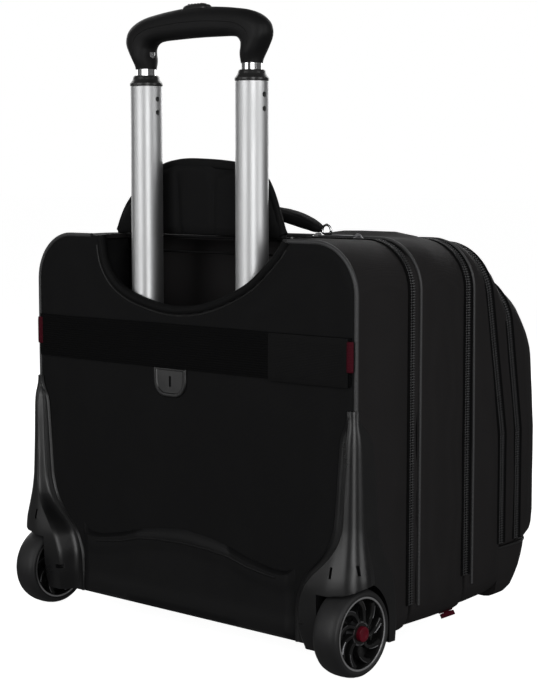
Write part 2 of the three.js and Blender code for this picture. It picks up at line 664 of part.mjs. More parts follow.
const midSection = () => group(
  part("mid_shell", join(tray(midStations), leaf(MID_FRONT + 2, LEAF.front, LEAF.mid)), material.fabric),
  part("laptop_pad", block([-176, 12, 30], [176, 20, 276]), material.lining),
  part("carry_handle", carryHandle(), material.fabric),
  ...sides.map(([side, s]) => part(`handle_ring_${side}`, handleRing(s), material.chrome)),
);

const frontSection = () => group(
  part("organiser_shell", tray(frontStations), material.fabric),
  part("pocket_base", pocketBase(), material.fabric),
);

const object = group(
  rearAssembly(),
  bottomPanel(),
  ...sides.map(([side, s]) => wheel(side, s)),
  middleStage(),
  innerStage(),
  part("well_flap", wellFlap(), material.fabric),
  midSection(),
  frontSection(),
  part("pocket_shell", join(tray(pocketStations), leaf(-116, -156, LEAF.pocket)), material.fabric),
  part("pocket_lid", tray(lidStations, true), material.fabric),
  zipSet("overnight", HALF_WIDTH, 50),
  zipSet("main", 205, 62),
  zipSet("organiser", 204, 82),
  zipSet("pocket", 202.5, 82),
);

export default object;
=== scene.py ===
"""A rolling laptop case on its wheels, with its pull handle raised one stage.

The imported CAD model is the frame. Each visible part is built here around its CAD node, in millimetres,
and made in metres. +Z is up, +Y is the wheel side, -Y the pocket side, and "right" is +X.
"""

import math

import bmesh
import bpy
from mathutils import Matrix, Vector, noise
from mathutils.geometry import tessellate_polygon


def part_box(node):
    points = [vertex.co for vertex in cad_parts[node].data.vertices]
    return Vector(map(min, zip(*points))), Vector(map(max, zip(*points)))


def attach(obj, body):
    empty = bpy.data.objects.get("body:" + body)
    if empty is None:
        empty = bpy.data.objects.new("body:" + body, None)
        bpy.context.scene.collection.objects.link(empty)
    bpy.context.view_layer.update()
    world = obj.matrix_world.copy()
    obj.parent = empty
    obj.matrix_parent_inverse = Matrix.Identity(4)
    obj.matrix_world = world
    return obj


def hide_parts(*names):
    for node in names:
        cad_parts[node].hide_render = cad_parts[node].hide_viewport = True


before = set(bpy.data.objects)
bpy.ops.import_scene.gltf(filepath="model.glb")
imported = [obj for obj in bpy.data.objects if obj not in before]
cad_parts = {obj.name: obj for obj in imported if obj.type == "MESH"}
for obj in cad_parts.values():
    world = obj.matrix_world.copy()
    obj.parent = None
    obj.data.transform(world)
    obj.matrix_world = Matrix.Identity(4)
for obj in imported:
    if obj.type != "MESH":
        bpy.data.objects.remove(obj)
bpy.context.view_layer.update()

MM = 0.001


def span(node):
    """The lowest and highest corner of a CAD node, in millimetres."""
    low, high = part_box(node)
    return low / MM, high / MM


# ---------------------------------------------------------------- sizes from the frame

PANEL_LOW, PANEL_HIGH = span("rear_panel")
HALF = PANEL_HIGH.x
REAR = PANEL_HIGH.y
TOP = PANEL_HIGH.z
BOTTOM = PANEL_LOW.z
GUSSET_FRONT = span("rear_gusset")[0].y
TUBE = (span("mid_tube_right")[0] + span("mid_tube_right")[1]) / 2
TUBE_RADIUS = (span("mid_tube_right")[1].x - span("mid_tube_right")[0].x) / 2
TUBE_LOW, TUBE_TOP = span("mid_tube_right")[0].z, span("mid_tube_right")[1].z
NECK_RADIUS = 9.25
WHEEL = (span("tyre_right")[0] + span("tyre_right")[1]) / 2
WHEEL_HALF = span("tyre_right")[1].x - WHEEL.x
TOP_CORNER = 46
BOTTOM_CORNER = 22
SKIN = 3  # thickness of a padded wall
DIMPLE = 0.8  # how far its cloth rises and falls
WELD = 0.02  # vertices nearer than this are joined
ZIPS = {"overnight": 56.5, "main": -29.5, "organiser": -91.5, "pocket": -121.5}
LEAN_FROM = 190
LEAN_OVER = 160
LEAN_KNEES = [(-36, 0), (-88.5, 30), (-94.5, 30), (-118.5, 28), (-124.5, 27), (-174.5, 10)]
SIDES = {"left": -1, "right": 1}


# ---------------------------------------------------------------- shapes


def lean(y, z):
    """How far the organiser and the pockets lean back at this depth and height."""
    rise = max(z - LEAN_FROM, 0) / LEAN_OVER
    if y >= LEAN_KNEES[0][0]:
        return 0
    for (y0, a), (y1, b) in zip(LEAN_KNEES, LEAN_KNEES[1:]):
        if y >= y1:
            return (a + (b - a) * (y0 - y) / (y0 - y1)) * rise
    return LEAN_KNEES[-1][1] * rise


def smooth(t):
    t = min(max(t, 0), 1)
    return t * t * (3 - 2 * t)


def mix(a, b, t):
    return a + (b - a) * t


def ramp(table, x):
    """The values at x, in straight lines between a table's rows (x, value, ...) with x rising."""
    if x <= table[0][0]:
        return table[0][1:]
    for low, high in zip(table, table[1:]):
        if x <= high[0]:
            t = (x - low[0]) / (high[0] - low[0])
            return tuple(mix(a, b, t) for a, b in zip(low[1:], high[1:]))
    return table[-1][1:]


def rumple(x, y, z, size, seed=0):
    """Soft uneven cloth, from -1 to 1, with features about this many millimetres across."""
    return noise.noise(Vector((x / size, y / size + seed * 7.3, z / size)))


def arc(cx, cy, radius, start, stop, steps):
    """Points on a circle from one angle to another, in degrees."""
    angles = [math.radians(mix(start, stop, i / steps)) for i in range(steps + 1)]
    return [(cx + radius * math.cos(a), cy + radius * math.sin(a)) for a in angles]


def oval(a, b, count=16, power=2.0):
    """A superellipse as a list of (u, v)."""
    points = []
    for i in range(count):
        c, s = math.cos(2 * math.pi * i / count), math.sin(2 * math.pi * i / count)
        u = math.copysign(abs(c) ** (2 / power), c)
        v = math.copysign(abs(s) ** (2 / power), s)
        points.append((a * u, b * v))
    return points


def curve(points, steps=6, closed=False):
    """A smooth path through points (Catmull-Rom)."""
    pts = [Vector(p) for p in points]
    n = len(pts)
    path = []
    for i in range(n if closed else n - 1):
        near = range(i - 1, i + 3)
        a, b, c, d = [pts[k % n] if closed else pts[min(max(k, 0), n - 1)] for k in near]
        for s in range(steps):
            t = s / steps
            bend = 2 * a - 5 * b + 4 * c - d
            twist = 3 * b - a - 3 * c + d
            path.append(0.5 * (2 * b + (c - a) * t + bend * t * t + twist * t**3))
    if not closed:
        path.append(pts[-1])
    return path


def respaced(path, step):
    """The same path with points every step millimetres."""
    pts = [Vector(p) for p in path]
    lengths = [0.0]
    for a, b in zip(pts, pts[1:]):
        lengths.append(lengths[-1] + (b - a).length)
    count = max(int(round(lengths[-1] / step)), 2)
    out, k = [], 0
    for i in range(count + 1):
        want = lengths[-1] * i / count
        while k < len(pts) - 2 and lengths[k + 1] < want:
            k += 1
        t = (want - lengths[k]) / max(lengths[k + 1] - lengths[k], 1e-9)
        out.append(pts[k].lerp(pts[k + 1], min(max(t, 0), 1)))
    return out


class Mesh:
    """Surfaces gathered into one object."""

    def __init__(self):
        self.verts, self.faces, self.slots = [], [], []

    def grid(self, rows, slot=0, ring=False, loop=False, flip=False):
        """Joins rows of points; ring closes each row, loop joins the last row to the first."""
        base, n = len(self.verts), len(rows[0])
        self.verts += [tuple(p) for row in rows for p in row]
        for r in range(len(rows) if loop else len(rows) - 1):
            for i in range(n if ring else n - 1):
                a, b = r * n + i, r * n + (i + 1) % n
                c, d = ((r + 1) % len(rows)) * n + (i + 1) % n, ((r + 1) % len(rows)) * n + i
                face = [base + k for k in (a, b, c, d)]
                self.faces.append(face[::-1] if flip else face)
                self.slots.append(slot)
        return self

    def tube(self, rows, slot=0):
        """A grid of rings with both ends closed."""
        self.grid(rows, slot, ring=True)
        for row in (rows[0], rows[-1]):
            base = len(self.verts)
            self.verts += [tuple(p) for p in row]
            triangles = tessellate_polygon([[Vector(p) for p in row]])
            self.faces += [[base + i for i in face] for face in triangles]
            self.slots += [slot] * len(triangles)
        return self

    def sweep(self, path, outline, slot=0, closed=False, up=None):
        """A section (u across, v along up) carried along a path; outline may be a function of the index."""
        rows = swept(path, outline, closed, up)
        if closed:
            return self.grid(rows, slot, ring=True, loop=True)
        return self.tube(rows, slot)

    def slab(self, front, back, back_slot=0):
        """Two grids of the same size, joined round their edges."""
        self.grid(front).grid(back, back_slot, flip=True)
        self.grid([front[0], back[0]]).grid([back[-1], front[-1]])
        for k in (0, -1):
            self.grid([[row[k] for row in front], [row[k] for row in back]], flip=k == 0)
        return self

    def make(self, name, materials, body, slot_name, replaces=(), angle=45, weld=True):
        mesh = bpy.data.meshes.new(name)
        mesh.from_pydata([Vector(v) * MM for v in self.verts], [], self.faces)
        for m in materials:
            mesh.materials.append(m)
        mesh.polygons.foreach_set("material_index", self.slots)
        obj = bpy.data.objects.new(name, mesh)
        bpy.context.scene.collection.objects.link(obj)
        if weld:
            merge(obj)
        finish_mesh(obj, angle)
        if body:
            placed(obj, body, replaces)
        return obj


def swept(path, outline, closed=False, up=None):
    pts = [Vector(p) for p in path]
    n = len(pts)
    rows = []
    side = None
    for i, p in enumerate(pts):
        ahead = pts[(i + 1) % n] if closed else pts[min(i + 1, n - 1)]
        behind = pts[i - 1] if closed or i else p
        tangent = (ahead - behind).normalized()
        if up is not None:
            v = Vector(up(i) if callable(up) else up)
            v = (v - tangent * v.dot(tangent)).normalized()
            side = tangent.cross(v)
        elif side is None:
            side = tangent.orthogonal().normalized()
            v = side.cross(tangent)
        else:
            side = (side - tangent * side.dot(tangent)).normalized()
            v = side.cross(tangent)
        section = outline(i) if callable(outline) else outline
        rows.append([p + side * a + v * b for a, b in section])
    return rows


def merge(obj):
    """Joins vertices that meet, and turns all faces outwards."""
    bm = bmesh.new()
    bm.from_mesh(obj.data)
    bmesh.ops.remove_doubles(bm, verts=bm.verts, dist=WELD * MM)
    bmesh.ops.recalc_face_normals(bm, faces=bm.faces)
    bm.to_mesh(obj.data)
    bm.free()


def finish_mesh(obj, angle=45):
    obj.data.shade_smooth()
    obj.data.set_sharp_from_angle(angle=math.radians(angle))


def placed(obj, body, replaces=()):
    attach(obj, body)
    if replaces:
        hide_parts(*replaces)
    return obj


def apply(obj):
    """Bakes an object's modifiers into its mesh."""
    graph = bpy.context.evaluated_depsgraph_get()
    obj.data = bpy.data.meshes.new_from_object(obj.evaluated_get(graph))
    obj.modifiers.clear()
    return obj


def cut(obj, *cutters, angle=35):
    """Takes the cutters' solids out of obj, and deletes them."""
    for cutter in cutters:
        modifier = obj.modifiers.new("cut", "BOOLEAN")
        modifier.operation = "DIFFERENCE"
        modifier.solver = "EXACT"
        modifier.object = cutter
        apply(obj)
        bpy.data.objects.remove(cutter)
    finish_mesh(obj, angle)
    weighted = obj.modifiers.new("normals", "WEIGHTED_NORMAL")
    weighted.keep_sharp = True
    apply(obj)
    return obj


def prism(outline, axis, low, high):
    """A plain cutter: an outline in the other two axes, carried along one axis."""
    order = {"x": (2, 0, 1), "y": (0, 2, 1), "z": (0, 1, 2)}[axis]
    rows = []
    for w in (low, high):
        rows.append([tuple((u, v, w)[k] for k in order) for u, v in outline])
    return Mesh().tube(rows).make("cutter", [], None, None)


def cord(name, path, outline, material, body="case_back", slot_name="case_fabric", **how):
    """A piece with one section all along a path."""
    return Mesh().sweep(path, outline, **how).make(name, [material], body, slot_name)


def box_cutter(low, high):
    outline = [(low[0], low[1]), (high[0], low[1]), (high[0], high[1]), (low[0], high[1])]
    return prism(outline, "z", low[2], high[2])


def lathe(mesh, profile, centre, axis, count, turn=1):
    """Turns a profile of (radius, along) about an axis through centre; turn is -1 on the left side."""
    rows = []
    for radius, along in profile:
        row = []
        for i in range(count):
            a = 2 * math.pi * i / count
            c, s = radius * math.cos(a), radius * math.sin(a)
            offset = {"z": (c, s, along), "x": (along * turn, c, s), "y": (s, along, c)}[axis]
            row.append(Vector(centre) + Vector(offset))
        rows.append(row)
    mesh.grid(rows, ring=True)


def turned(name, material, body, slot_name, profile, centre, axis, count, replaces=(), angle=45, turn=1):
    """A piece turned on a lathe."""
    made = Mesh()
    lathe(made, profile, centre, axis, count, turn=turn)
    return made.make(name, [material], body, slot_name, replaces, angle)


def round_cutter(radius, low, high, centre, axis, count, turn=1):
    made = Mesh()
    lathe(made, [(0.01, low), (radius, low), (radius, high), (0.01, high)], centre, axis, count, turn=turn)
    return made.make("cutter", [], None, None)


# ---------------------------------------------------------------- materials


def node(tree, kind, inputs=None, **settings):
    made = tree.nodes.new(kind)
    for key, value in settings.items():
        setattr(made, key, value)
    for key, value in (inputs or {}).items():
        if isinstance(value, bpy.types.NodeSocket):
            tree.links.new(value, made.inputs[key])
        else:
            made.inputs[key].default_value = value
    return made


def maths(tree, operation, a, b):
    return node(tree, "ShaderNodeMath", {0: a, 1: b}, operation=operation).outputs[0]


def wave(tree, coords, direction, pitch):
    """Bands across one axis, this many millimetres apart."""
    inputs = {"Vector": coords, "Scale": math.pi / 10 / (pitch * MM)}
    return node(tree, "ShaderNodeTexWave", inputs, bands_direction=direction).outputs["Fac"]


def speckle(tree, coords, size, detail=2.0):
    """Uneven noise with features this many millimetres across."""
    inputs = {"Vector": coords, "Scale": 1 / (size * MM), "Detail": detail}
    return node(tree, "ShaderNodeTexNoise", inputs).outputs["Fac"]


def weave(tree, coords, pitch):
    """Threads that cross, whichever way the cloth faces."""
    total = wave(tree, coords, "X", pitch)
    for direction in "YZ":
        total = maths(tree, "ADD", total, wave(tree, coords, direction, pitch))
    return maths(tree, "MULTIPLY", total, 1 / 3)


def ribs(direction, pitch):
    return lambda tree, coords: wave(tree, coords, direction, pitch)


def woven(pitch):
    return lambda tree, coords: weave(tree, coords, pitch)


def grain(size):
    return lambda tree, coords: speckle(tree, coords, size, 3.0)


def stretched(scale, size):
    """Noise drawn out along one axis, as brushing is."""

    def height(tree, coords):
        mapped = node(tree, "ShaderNodeMapping", {"Vector": coords, "Scale": scale}).outputs[0]
        return speckle(tree, mapped, size, 4.0)

    return height


def finish(
    name,
    colour,
    roughness,
    pattern,
    depth,
    metallic=0.0,
    specular=0.5,
    variation=0.25,
    patch=30,
    wear=0.05,
    **constants,
):
    """A procedural material: a pattern gives bump and fine colour, slow noise gives wear and patches."""
    made = bpy.data.materials.new(name)
    made.use_nodes = True
    tree = made.node_tree
    shader = tree.nodes["Principled BSDF"]
    coords = node(tree, "ShaderNodeTexCoord").outputs["Object"]
    height = pattern(tree, coords)
    slow = speckle(tree, coords, patch, 3.0)
    tone = maths(tree, "ADD", maths(tree, "MULTIPLY", height, 0.5), maths(tree, "MULTIPLY", slow, 0.5))
    dark = tuple(c * (1 - variation) for c in colour) + (1,)
    light = tuple(min(c * (1 + variation), 1) for c in colour) + (1,)
    colours = node(tree, "ShaderNodeMix", {"Factor": tone}, data_type="RGBA")
    colours.inputs[6].default_value = dark
    colours.inputs[7].default_value = light
    tree.links.new(colours.outputs[2], shader.inputs["Base Color"])
    rough = node(tree, "ShaderNodeMapRange", {"Value": slow, "From Min": 0.3, "From Max": 0.7})
    rough.inputs["To Min"].default_value = max(roughness - wear, 0.02)
    rough.inputs["To Max"].default_value = min(roughness + wear, 1.0)
    tree.links.new(rough.outputs[0], shader.inputs["Roughness"])
    bump = node(tree, "ShaderNodeBump", {"Height": height, "Strength": 0.6, "Distance": depth * MM})
    tree.links.new(bump.outputs[0], shader.inputs["Normal"])
    shader.inputs["Metallic"].default_value = metallic
    shader.inputs["Specular IOR Level"].default_value = specular
    for key, value in constants.items():
        shader.inputs[key.replace("_", " ").title()].default_value = value
    return made


FABRIC = finish("ballistic_nylon", (0.0070, 0.0070, 0.0073), 0.72, woven(1.1), 0.25, specular=0.08)
# The rear panel's nylon, painted about twice as light for every face but the rear panel: painted light, a lit
# copy standing in for the brighter light that the sides catch.
SIDE_FABRIC_PAINTED_LIT = finish("ballistic_nylon_painted_lit_side", (0.0150, 0.0140, 0.0143), 0.70, woven(1.1), 0.25, specular=0.12)
LINING = finish("lining", (0.0070, 0.0070, 0.0074), 0.5, woven(0.7), 0.12, specular=0.16, sheen_weight=0.03)
WEBBING = finish("webbing", (0.0028, 0.0028, 0.0030), 0.78, ribs("Z", 2.2), 0.35, specular=0.06)
BINDING = finish("grosgrain_binding", (0.0045, 0.0045, 0.0047), 0.66, woven(1.4), 0.3, specular=0.10)
PLASTIC = finish("moulded_plastic", (0.0055, 0.0055, 0.0058), 0.32, grain(0.8), 0.05, specular=0.5, wear=0.05)
NEAR_BLACK = (0.005, 0.005, 0.0053)
BASE_PLASTIC = finish("kick_plate_plastic", NEAR_BLACK, 0.5, grain(1.2), 0.08, specular=0.16, wear=0.06)
GRIP = finish("soft_grip", (0.0045, 0.0045, 0.0048), 0.55, grain(0.9), 0.06, specular=0.22)
BUTTON = finish("button_plastic", (0.014, 0.014, 0.014), 0.30, grain(1.0), 0.03, specular=0.5)
TYRE = finish("tyre_polyurethane", (0.0130, 0.0130, 0.0135), 0.55, grain(1.5), 0.08, specular=0.35, wear=0.1)
WHEEL_BLACK = finish("wheel_gloss_black", (0.0065, 0.0065, 0.0065), 0.22, grain(2.0), 0.02, specular=0.5)
WHEEL_SILVER = finish("wheel_silver", (0.72, 0.72, 0.73), 0.36, grain(1.0), 0.03, metallic=1.0, variation=0.1)
BRUSHED = stretched((1, 1, 0.02), 0.35)
SMOOTH_METAL = {"metallic": 1.0, "variation": 0.06, "patch": 60, "wear": 0.04}
ALUMINIUM = finish("satin_aluminium", (0.62, 0.625, 0.63), 0.46, BRUSHED, 0.010, **SMOOTH_METAL)
CHROME = finish("chrome", (0.82, 0.82, 0.83), 0.1, grain(4.0), 0.004, metallic=1.0, variation=0.04, wear=0.03)
STEEL = finish("gunmetal", (0.30, 0.30, 0.31), 0.32, grain(0.7), 0.03, metallic=1.0, variation=0.15)
COIL = finish("zip_coil", (0.030, 0.030, 0.031), 0.30, grain(0.8), 0.03, specular=0.6)
TAPE = finish("zip_tape", (0.0032, 0.0032, 0.0034), 0.85, woven(0.9), 0.2, specular=0.06)
# The piping's grey is partly the cord's own colour and partly a painted highlight: it is lighter than the
# dark piping so that it shows the highlight line along each cord.
PIPING_PAINTED_HIGHLIGHT = finish("piping", (0.040, 0.040, 0.041), 0.45, ribs("Z", 1.2), 0.08, specular=0.4)
DARK_PIPING = finish("dark_piping", (0.011, 0.011, 0.011), 0.5, woven(1.0), 0.1, specular=0.4)
CRIMSON = finish("crimson_tape", (0.050, 0.0026, 0.0075), 0.6, ribs("Z", 1.3), 0.25, specular=0.08)
RED = finish("crimson_plastic", (0.095, 0.003, 0.010), 0.32, grain(1.0), 0.03, specular=0.2)
BOARD = finish("stiffener_board", (0.045, 0.045, 0.047), 0.7, grain(1.5), 0.15)
GLOW = {"emission_strength": 0.95, "emission_color": (1, 1, 1, 1)}
GREY = (0.45, 0.45, 0.45)
PALE_FLOOR = finish("pale_floor", GREY, 0.9, grain(3.0), 0.05, specular=0.05, variation=0.01, **GLOW)


def dress(material, *nodes):
    """CAD nodes that stay get this material."""
    for name in nodes:
        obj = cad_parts[name]
        obj.data.materials.clear()
        obj.data.materials.append(material)


# ---------------------------------------------------------------- outlines of the case


def ring_points(half, low, high, top=TOP_CORNER, bottom=BOTTOM_CORNER):
    """The case's cross-section as (x, z), counter-clockwise from the middle of its bottom."""

    def line(a, b, count):
        return [(mix(a[0], b[0], i / count), mix(a[1], b[1], i / count)) for i in range(count)]

    b, t = bottom, top
    points = line((0, low), (half - b, low), 6)
    points += arc(half - b, low + b, b, -90, 0, 6)[:-1]
    points += line((half, low + b), (half, high - t), 14)
    points += arc(half - t, high - t, t, 0, 90, 9)[:-1]
    points += line((half - t, high), (-half + t, high), 16)
    points += arc(-half + t, high - t, t, 90, 180, 9)[:-1]
    points += line((-half, high - t), (-half, low + b), 14)
    points += arc(-half + b, low + b, b, 180, 270, 6)[:-1]
    points += line((-half + b, low), (0, low), 6)
    return points


def leaned(x, y, z):
    return (x, y + lean(y, z), z)


def table_at(stations, y):
    """A cross-section's sizes at depth y, from stations at falling y."""
    rows = []
    for s in stations:
        corners = s.get("top", TOP_CORNER), s.get("bottom", BOTTOM_CORNER)
        rows.append((-s["y"], s["half"], s["low"], s["high"], *corners))
    return ramp(rows, -y)


def shell(stations, shut, crown, seed, cap_crown):
    """A padded tray through cross-sections at falling y. shut is its closed end's side, -1 for the front."""
    made = Mesh()
    first, last = stations[0]["y"], stations[-1]["y"]
    open_y, shut_y = (first, last) if shut < 0 else (last, first)
    steps = max(int(abs(last - first) / 4), 4)
    ys = [mix(open_y, shut_y, i / steps) for i in range(steps + 1)]
    outer, inner = [], []

    def ring(y, outward, grow=0.0, depth=None):
        half, low, high, top, bottom = table_at(stations, y)
        corners = max(top + outward, 4), max(bottom + outward, 3)
        points = ring_points(half + outward, low - min(outward, 0), high + outward, *corners)
        middle = (low + high) / 2
        at_y = y if depth is None else depth
        row = []
        for x, z in points:
            wobble = DIMPLE * (rumple(x, at_y, z, 55, seed) + 0.35 * rumple(x, at_y, z, 18, seed + 3))
            away = Vector((x, z - middle)).normalized()
            g = grow * (1 + 0.25 * wobble) + (wobble * 0.5 if grow else 0)
            if z < low + 20:
                g = min(g, 0.3)
            row.append(leaned(x + away.x * g, at_y, z + away.y * g))
        return row

    for i, y in enumerate(ys):
        t = i / steps
        outer.append(ring(y, 0, crown * math.sin(math.pi * min(t * 0.96 + 0.02, 1)) ** 0.8))
    toward_open = math.copysign(1, open_y - shut_y)
    lip = ((0.6, 0.6), (0.9, 1.5), (0.6, 2.4))
    rim = [ring(open_y, -o, 0, open_y + toward_open * s * 0.4) for s, o in lip]
    for y in ys[:-1]:
        inner.append(ring(y, -SKIN))

    def cap(outward, depth, bulge, count=9):
        """Rings that close on the middle of the shut end."""
        rows = []
        base = ring(shut_y, outward, 0, shut_y)
        low, high = table_at(stations, shut_y)[1:3]
        middle = (low + high) / 2
        for k in range(1, count + 1):
            f = 1 - (k / count) ** 0.85 * 0.999
            swell = bulge * (1 - f * f) ** 0.7
            row = []
            for point in base:
                x, z = point[0] * f, middle + (point[2] - middle) * f
                dent = DIMPLE * 1.2 * rumple(x, 0, z, 60, seed + 9) * (1 - f)
                row.append((x, depth - toward_open * (swell + dent) + lean(shut_y, z), z))
            rows.append(row)
        return rows

    edge = [ring(shut_y, -a, 0, shut_y - toward_open * b) for a, b in ((0.7, 0.9), (2.2, 1.5))]
    outside = outer + edge + cap(-4, shut_y - toward_open * 1.7, cap_crown)
    inside = inner + cap(-SKIN - 1, shut_y + toward_open * SKIN, 0, 5)
    made.grid(outside, 0, ring=True)
    made.grid([outer[0], *rim, inner[0]], 0, ring=True)
    made.grid(inside, 1, ring=True)
    return made


def over_top_path(half, high, foot, y, step):
    """A path over a compartment from its left foot round the top to its right foot."""
    top = TOP_CORNER
    points = [(-half, foot), (-half, high - top)]
    points += arc(-half + top, high - top, top, 180, 90, 12)
    points += arc(half - top, high - top, top, 90, 0, 12)
    points += [(half, high - top), (half, foot)]
    return [Vector(leaned(p.x, y, p.z)) for p in respaced([(x, 0, z) for x, z in points], step)]


def outward_of(path):
    """For a path over the case, the direction away from its middle at each point."""
    ups = []
    for p in path:
        side = math.copysign(1, p.x)
        away = Vector((side * max(abs(p.x) - 140, 0), 0, max(p.z - 320, 0)))
        if away.length <= 1:
            away = Vector((0, 0, 1)) if p.z > 230 else Vector((side, 0, 0))
        ups.append(away.normalized())
    return lambda i: ups[i]


# ---------------------------------------------------------------- back of the case

# The lower edge of the rear panel's opening for the handle, from its left end to its right end.
SCOOP = [(-126, 381), (-121, 374), (-114, 366), (-95, 349), (-76, 336), (-47, 323.5), (-15, 315), (18, 313)]
SCOOP += [(48.5, 317.5), (74, 324.5), (93, 335), (105, 348), (111, 361), (113, 373), (114, 381)]
SCOOP_PATH = respaced(curve([(x, 0, z) for x, z in SCOOP], 5), 7)


def panel_offset(x, z):
    """How far the padded rear panel stands out."""
    px, pz = abs(x) - (HALF - TOP_CORNER), z - (TOP - TOP_CORNER)
    distance = TOP_CORNER - math.hypot(px, pz) if px > 0 and pz > 0 else min(HALF - abs(x), TOP - z)
    distance = min(distance, z - BOTTOM)
    for p in SCOOP_PATH[::2]:
        distance = min(distance, math.hypot(p.x - x, p.z - z))
    rolled = -1.8 * (1 - min(max(distance, 0) / 5, 1)) ** 2
    puff = 1.5 * smooth(distance / 60)
    folds = 0.7 * rumple(x, 0, z, 70, 1) + 0.25 * rumple(x, 0, z, 22, 2)
    return rolled + puff + folds * smooth(distance / 25)


def rear_panel():
    corner = arc(HALF - TOP_CORNER, TOP - TOP_CORNER, TOP_CORNER, 0, 90, 9)
    tops = [(-x, z) for x, z in corner] + [(-142, TOP)]
    tops += [(p.x, min(p.z, TOP)) for p in SCOOP_PATH]
    tops += [(130, TOP)] + corner[::-1]
    front, back = [], []
    rows = 40
    for x, top in tops:
        past = max(abs(x) - HALF + BOTTOM_CORNER, 0)
        low = BOTTOM + BOTTOM_CORNER - math.sqrt(max(BOTTOM_CORNER**2 - past**2, 0))
        zs = [mix(low, top, i / rows) for i in range(rows + 1)]
        front.append([(x, REAR + panel_offset(x, z), z) for z in zs])
        back.append([(x, REAR - 3.4, z) for z in zs])
    made = Mesh().slab(front, back, 1)
    obj = made.make("rear_panel_skin", [FABRIC, LINING], "case_back", "case_fabric", ["rear_panel"])
    cut(obj, *housing_rooms())


def housing_rooms():
    cutters = []
    for s in SIDES.values():
        x0, x1 = sorted((s * (WHEEL.x - WHEEL_HALF - 4.5), s * 260))
        cutters.append(box_cutter((x0, WHEEL.y - 45.5, 0), (x1, 200, WHEEL.z + 44.8)))
    return cutters


def rear_gusset():
    made = Mesh()
    ys = [REAR - 3.7 - i * 4.5 for i in range(int((REAR - 3.7 - GUSSET_FRONT) / 4.5) + 1)]
    ys[-1] = GUSSET_FRONT
    corners = TOP_CORNER - SKIN, BOTTOM_CORNER - SKIN
    lining = ring_points(HALF - SKIN, BOTTOM + SKIN, TOP - SKIN, *corners)
    outer, inner = [], []
    for i, y in enumerate(ys):
        t = i / (len(ys) - 1)
        grow = 1.3 * math.sin(math.pi * t) ** 0.7
        row = []
        for x, z in ring_points(HALF, BOTTOM, TOP):
            away = Vector((x, z - 200)).normalized()
            g = grow * (1 + 0.5 * rumple(x, y, z, 50, 4)) if z > BOTTOM + 5 else 0
            row.append((x + away.x * g, y, z + away.y * g))
        outer.append(row)
        inner.append([(x, y, z) for x, z in lining])
    made.grid(outer, 0, ring=True)
    made.grid(inner, 1, ring=True, flip=True)
    made.grid([outer[0], inner[0]], 0, ring=True)
    made.grid([outer[-1], inner[-1]], 0, ring=True)
    obj = made.make("rear_gusset_skin", [SIDE_FABRIC_PAINTED_LIT, LINING], "case_back", "case_fabric", ["rear_gusset"])
    slot = box_cutter((-124, 92, TOP - 12), (118, REAR + 2, TOP + 6))
    cut(obj, *housing_rooms(), slot)


def scoop_rim():
    """The two rolls round the handle opening, the seam beside them, and the zip on its left."""
    path = [(p.x, REAR - 3.0, p.z) for p in SCOOP_PATH]
    cord("handle_opening_roll", path, oval(4.2, 4.6, 12, 2.4), BINDING, up=(0, 1, 0))
    path = [(p.x, REAR - 5.6, p.z - 2.5) for p in SCOOP_PATH]
    cord("handle_opening_inner_roll", path, oval(3.2, 2.0, 10, 2.2), FABRIC, up=(0, 1, 0))
    out = [p + (p - Vector((0, 0, 420))).normalized() * 5.2 for p in SCOOP_PATH]
    path = [(p.x, REAR - 0.2, p.z) for p in out if p.z < TOP - 3]
    cord("handle_opening_seam", path, oval(0.8, 0.8, 8), DARK_PIPING)
    path = respaced([(p.x - 3, REAR - 5.2, p.z + 3.5) for p in SCOOP_PATH if p.x < -60], 0.8)

    def tooth(i):
        wide = 0.35 * (i % 3 == 0)
        return oval(0.9 + wide, 1.0 + wide, 6)

    cord("handle_opening_zip", path, tooth, COIL, slot_name="zip_coil")


def handle_well():
    """The trough's cloth: floor, ends, and a far wall gathered below its seam."""
    low, high = span("handle_well")
    half, floor, back, front = high.x - 2.5, low.z + 3.2, REAR - 3.8, low.y + 2.8
    made = Mesh()
    side = [(half, z) for z in (TOP - 4, 360, 345, 330)] + arc(half - 22, floor + 22, 22, 0, -90, 7)
    outline = side + [(x, floor) for x in (60, 20, -20, -60)] + [(-x, z) for x, z in side[::-1]]
    rows = []
    for i in range(10):
        y = mix(back, front, i / 9)
        row = [(x + 0.9 * rumple(x, y, z, 24, 5), y, z + 0.9 * rumple(x, y, z, 22, 6)) for x, z in outline]
        rows.append(row)
    made.grid(rows)
    wall = []
    for j in range(26):
        z = mix(floor, TOP - 4, j / 25)
        row = []
        for i in range(61):
            x = mix(-half, half, i / 60)
            if z < floor + 22:
                reach = half - 22 + math.sqrt(max(22**2 - (floor + 22 - z) ** 2, 0))
                x = max(min(x, reach), -reach)
            below = smooth((364 - z) / 8)
            gather = math.sin(x * 0.21 + 2.5 * rumple(x, 0, z, 40, 7)) * 1.6 * below * smooth((z - 318) / 30)
            scallop = 2.2 * smooth((z - 350 - 5 * math.sin(x * 0.1)) / 5) * smooth((364 - z) / 4)
            row.append((x, front + 0.4 + max(gather, -0.4) + scallop + 0.8 * (1 - below), z))
        wall.append(row)
    made.grid(wall)
    obj = made.make("handle_well_lining", [LINING], "case_back", "lining", ["handle_well"], angle=70)
    solidify = obj.modifiers.new("cloth", "SOLIDIFY")
    solidify.thickness = 1.2 * MM
    solidify.offset = -1
    apply(obj)
    rooms = [round_cutter(17, floor - 8, floor + 8, (x, TUBE.y, 0), "z", 40) for x in (-TUBE.x, TUBE.x)]
    cut(obj, *rooms, angle=70)
    seam = [(x, front + 2.6, 366) for x in range(-int(half) + 2, int(half) - 1, 8)]
    cord("handle_well_seam", seam, oval(1.4, 1.1, 8), BINDING, slot_name="lining", up=(0, 0, 1))


